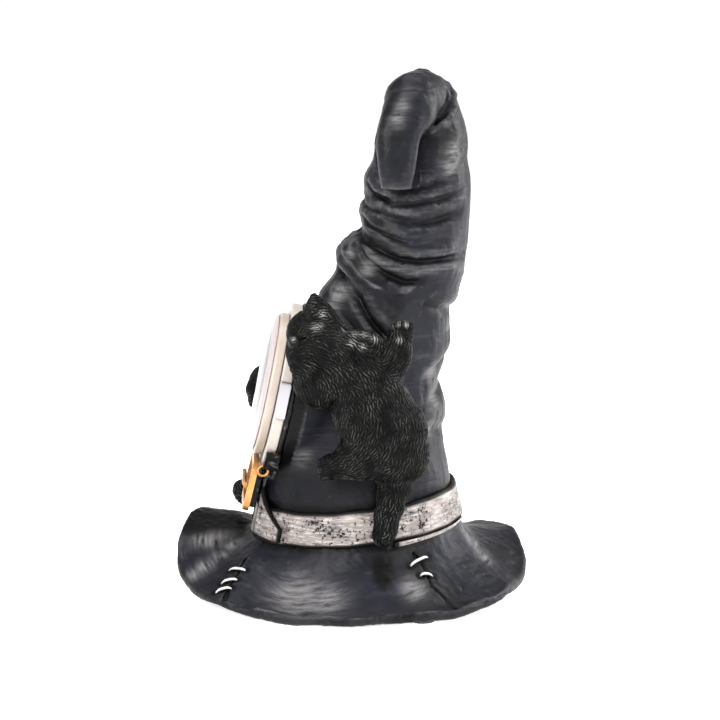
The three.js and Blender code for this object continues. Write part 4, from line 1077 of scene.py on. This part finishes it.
def dial_marks():
    """Minute dots, hour bars and plain numerals."""
    made = []
    verts, faces = [], []
    for i in range(60):
        a = radians(i * 6)
        half, long = (0.42, 1.5) if i % 5 == 0 else (0.16, 0.8)
        way, side = np.array([sin(a), cos(a)]), np.array([cos(a), -sin(a)])
        base = len(verts)
        for z in (-3.33, -3.22):
            for r, s in ((TRACK_R - long, -1), (TRACK_R - long, 1), (TRACK_R, 1), (TRACK_R, -1)):
                x, y = way * r + side * half * s
                verts.append((x, y, z))
        low, high = range(base, base + 4), range(base + 4, base + 8)
        faces += [tuple(low)[::-1], tuple(high)]
        faces += [(low[j - 1], low[j], high[j], high[j - 1]) for j in (1, 2, 3, 0)]
    made.append(make("minute_track", in_clock(verts), faces, HAND, smooth=False))
    for hour in range(1, 13):
        curve = bpy.data.curves.new(f"numeral {hour}", "FONT")
        curve.body = str(hour)
        curve.size, curve.align_x, curve.align_y = 5, "CENTER", "CENTER"
        curve.extrude, curve.resolution_u = 0.05, 4
        text = placed(f"numeral {hour}", curve)
        bpy.context.view_layer.update()
        mesh = bpy.data.meshes.new_from_object(text)
        bpy.data.objects.remove(text)
        a = radians(hour * 30)
        points = np.array([v.co[:] for v in mesh.vertices])
        points = points + (NUMERAL_R * sin(a), NUMERAL_R * cos(a), -3.27)
        faces = [tuple(p.vertices) for p in mesh.polygons]
        made.append(make(f"numeral_{hour}", in_clock(points), faces, HAND, smooth=False))
        bpy.data.meshes.remove(mesh)
    return made


# ---- putting it together
def cad(name):
    return bpy.data.objects[name]


def soften(obj, width, segments=3):
    """Rounds a CAD node's sharp corners."""
    weld = obj.modifiers.new("weld", "WELD")
    weld.merge_threshold = 2e-6
    bevel = obj.modifiers.new("bevel", "BEVEL")
    bevel.width, bevel.segments, bevel.angle_limit = width * MM, segments, radians(35)
    return obj


def dress_cad():
    """Materials for the CAD nodes that stay visible."""
    looks = {
        GOLD: ["buckle_frame", "buckle_prong", "tab_ring", "second_hand"],
        BLACK: ["buckle_pad", "strap_tab", "circuit_chip"],
        WHITE: ["socket_lug"], CREAM: ["clock_dial"],
        SOFT: ["grip_band", "foot_pad_1", "foot_pad_2", "foot_pad_3", "foot_pad_4"],
        GREY: ["clock_case", "movement_cover", "movement_box", "cell_tray", "cell_door",
               "set_knob"],
        STEEL: ["stator", "quartz_crystal", "button_cell", "rotor"],
        BRASS: ["spring_contact", "side_contact", "intermediate_wheel", "second_wheel",
                "third_wheel", "centre_wheel", "cannon_pinion"],
        NATURAL: ["motion_wheel", "hour_wheel"], HAND: ["minute_hand", "hour_hand"],
        COPPER: ["coil"], BOARD: ["circuit_board"],
    }
    for material, names in looks.items():
        for name in names:
            obj = cad(name)
            obj.data.materials.clear()
            obj.data.materials.append(material)
    for name, width in (("buckle_frame", 0.7), ("buckle_pad", 0.5), ("strap_tab", 0.35),
                        ("socket_lug", 0.5)):
        soften(cad(name), width)


def sky():
    """White low down, and dimmer overhead so that the lamps do the modelling."""
    world = bpy.data.worlds.new("studio")
    world.use_nodes = True
    nodes, links = world.node_tree.nodes, world.node_tree.links
    where, split = nodes.new("ShaderNodeTexCoord"), nodes.new("ShaderNodeSeparateXYZ")
    tone = nodes.new("ShaderNodeMapRange")
    for key, value in (("From Min", 0.22), ("From Max", 0.5), ("To Min", 1.03), ("To Max", 0.22)):
        tone.inputs[key].default_value = value
    links.new(where.outputs["Generated"], split.inputs[0])
    links.new(split.outputs["Z"], tone.inputs["Value"])
    links.new(tone.outputs["Result"], nodes["Background"].inputs["Color"])
    bpy.context.scene.world = world


def backdrop():
    n = Nodes("pale floor")
    cloud = n.noise(n.place(), 3, 2, 0.5)
    tone = n.mix(n.span(cloud, 0.35, 0.65), (0.86, 0.86, 0.86), (0.88, 0.88, 0.88))
    return n.done(Base_Color=tone, Roughness=0.9, Specular_IOR_Level=0.1, Emission_Color=tone,
                  Emission_Strength=0.84)


CAMERA_AZIMUTH, CAMERA_ELEVATION, CAMERA_AWAY = 87, 10, 0.9
CAMERA_AIM = (0, 0.0028, 0.092)
LAMPS = [  # name, place, size, power
    ("key", (0.75, -0.55, 0.75), (0.6, 0.6), 15),
    ("fill", (0.7, 0.8, 0.4), (0.5, 0.9), 8),
    ("rim", (-0.3, 0.9, 0.5), (0.3, 1), 12),
    ("top", (-0.1, 0, 1.1), (0.8, 0.8), 8),
]


def stage():
    floor = make("floor", [(-2500, -2500, -0.02), (2500, -2500, -0.02), (2500, 2500, -0.02),
                           (-2500, 2500, -0.02)], [(0, 1, 2, 3)], backdrop(), smooth=False)
    sky()
    bpy.context.scene.view_settings.view_transform = "Standard"
    for name, at, size, power in LAMPS:
        light = bpy.data.lights.new(name, "AREA")
        light.shape, light.size, light.size_y, light.energy = "RECTANGLE", size[0], size[1], power
        lamp = placed(name, light)
        lamp.location = at
        aim = Vector((0, 0, 0.09)) - Vector(at)
        lamp.rotation_euler = aim.to_track_quat("-Z", "Y").to_euler()
    camera = placed("camera", bpy.data.cameras.new("camera"))
    azimuth, elevation = radians(CAMERA_AZIMUTH), radians(CAMERA_ELEVATION)
    target = Vector(CAMERA_AIM)
    back = Vector((sin(azimuth) * cos(elevation), -cos(azimuth) * cos(elevation),
                   sin(elevation)))
    camera.location = target + back * CAMERA_AWAY
    camera.rotation_euler = (-back).to_track_quat("-Z", "Y").to_euler()
    camera.data.lens, camera.data.sensor_width = 113.5, 36
    bpy.context.scene.camera = camera


def build():
    for made in (hat(), near_cat(), far_cat(), belt(), flare(1), flare(-1)):
        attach(made, "hat")
    for index, row in enumerate(STITCHES, 1):
        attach(stitch(index, row), "hat")
    for made, body in rings():
        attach(made, body)
    for made in dial_marks():
        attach(made, "insert")
    dress_cad()
    stage()


build()
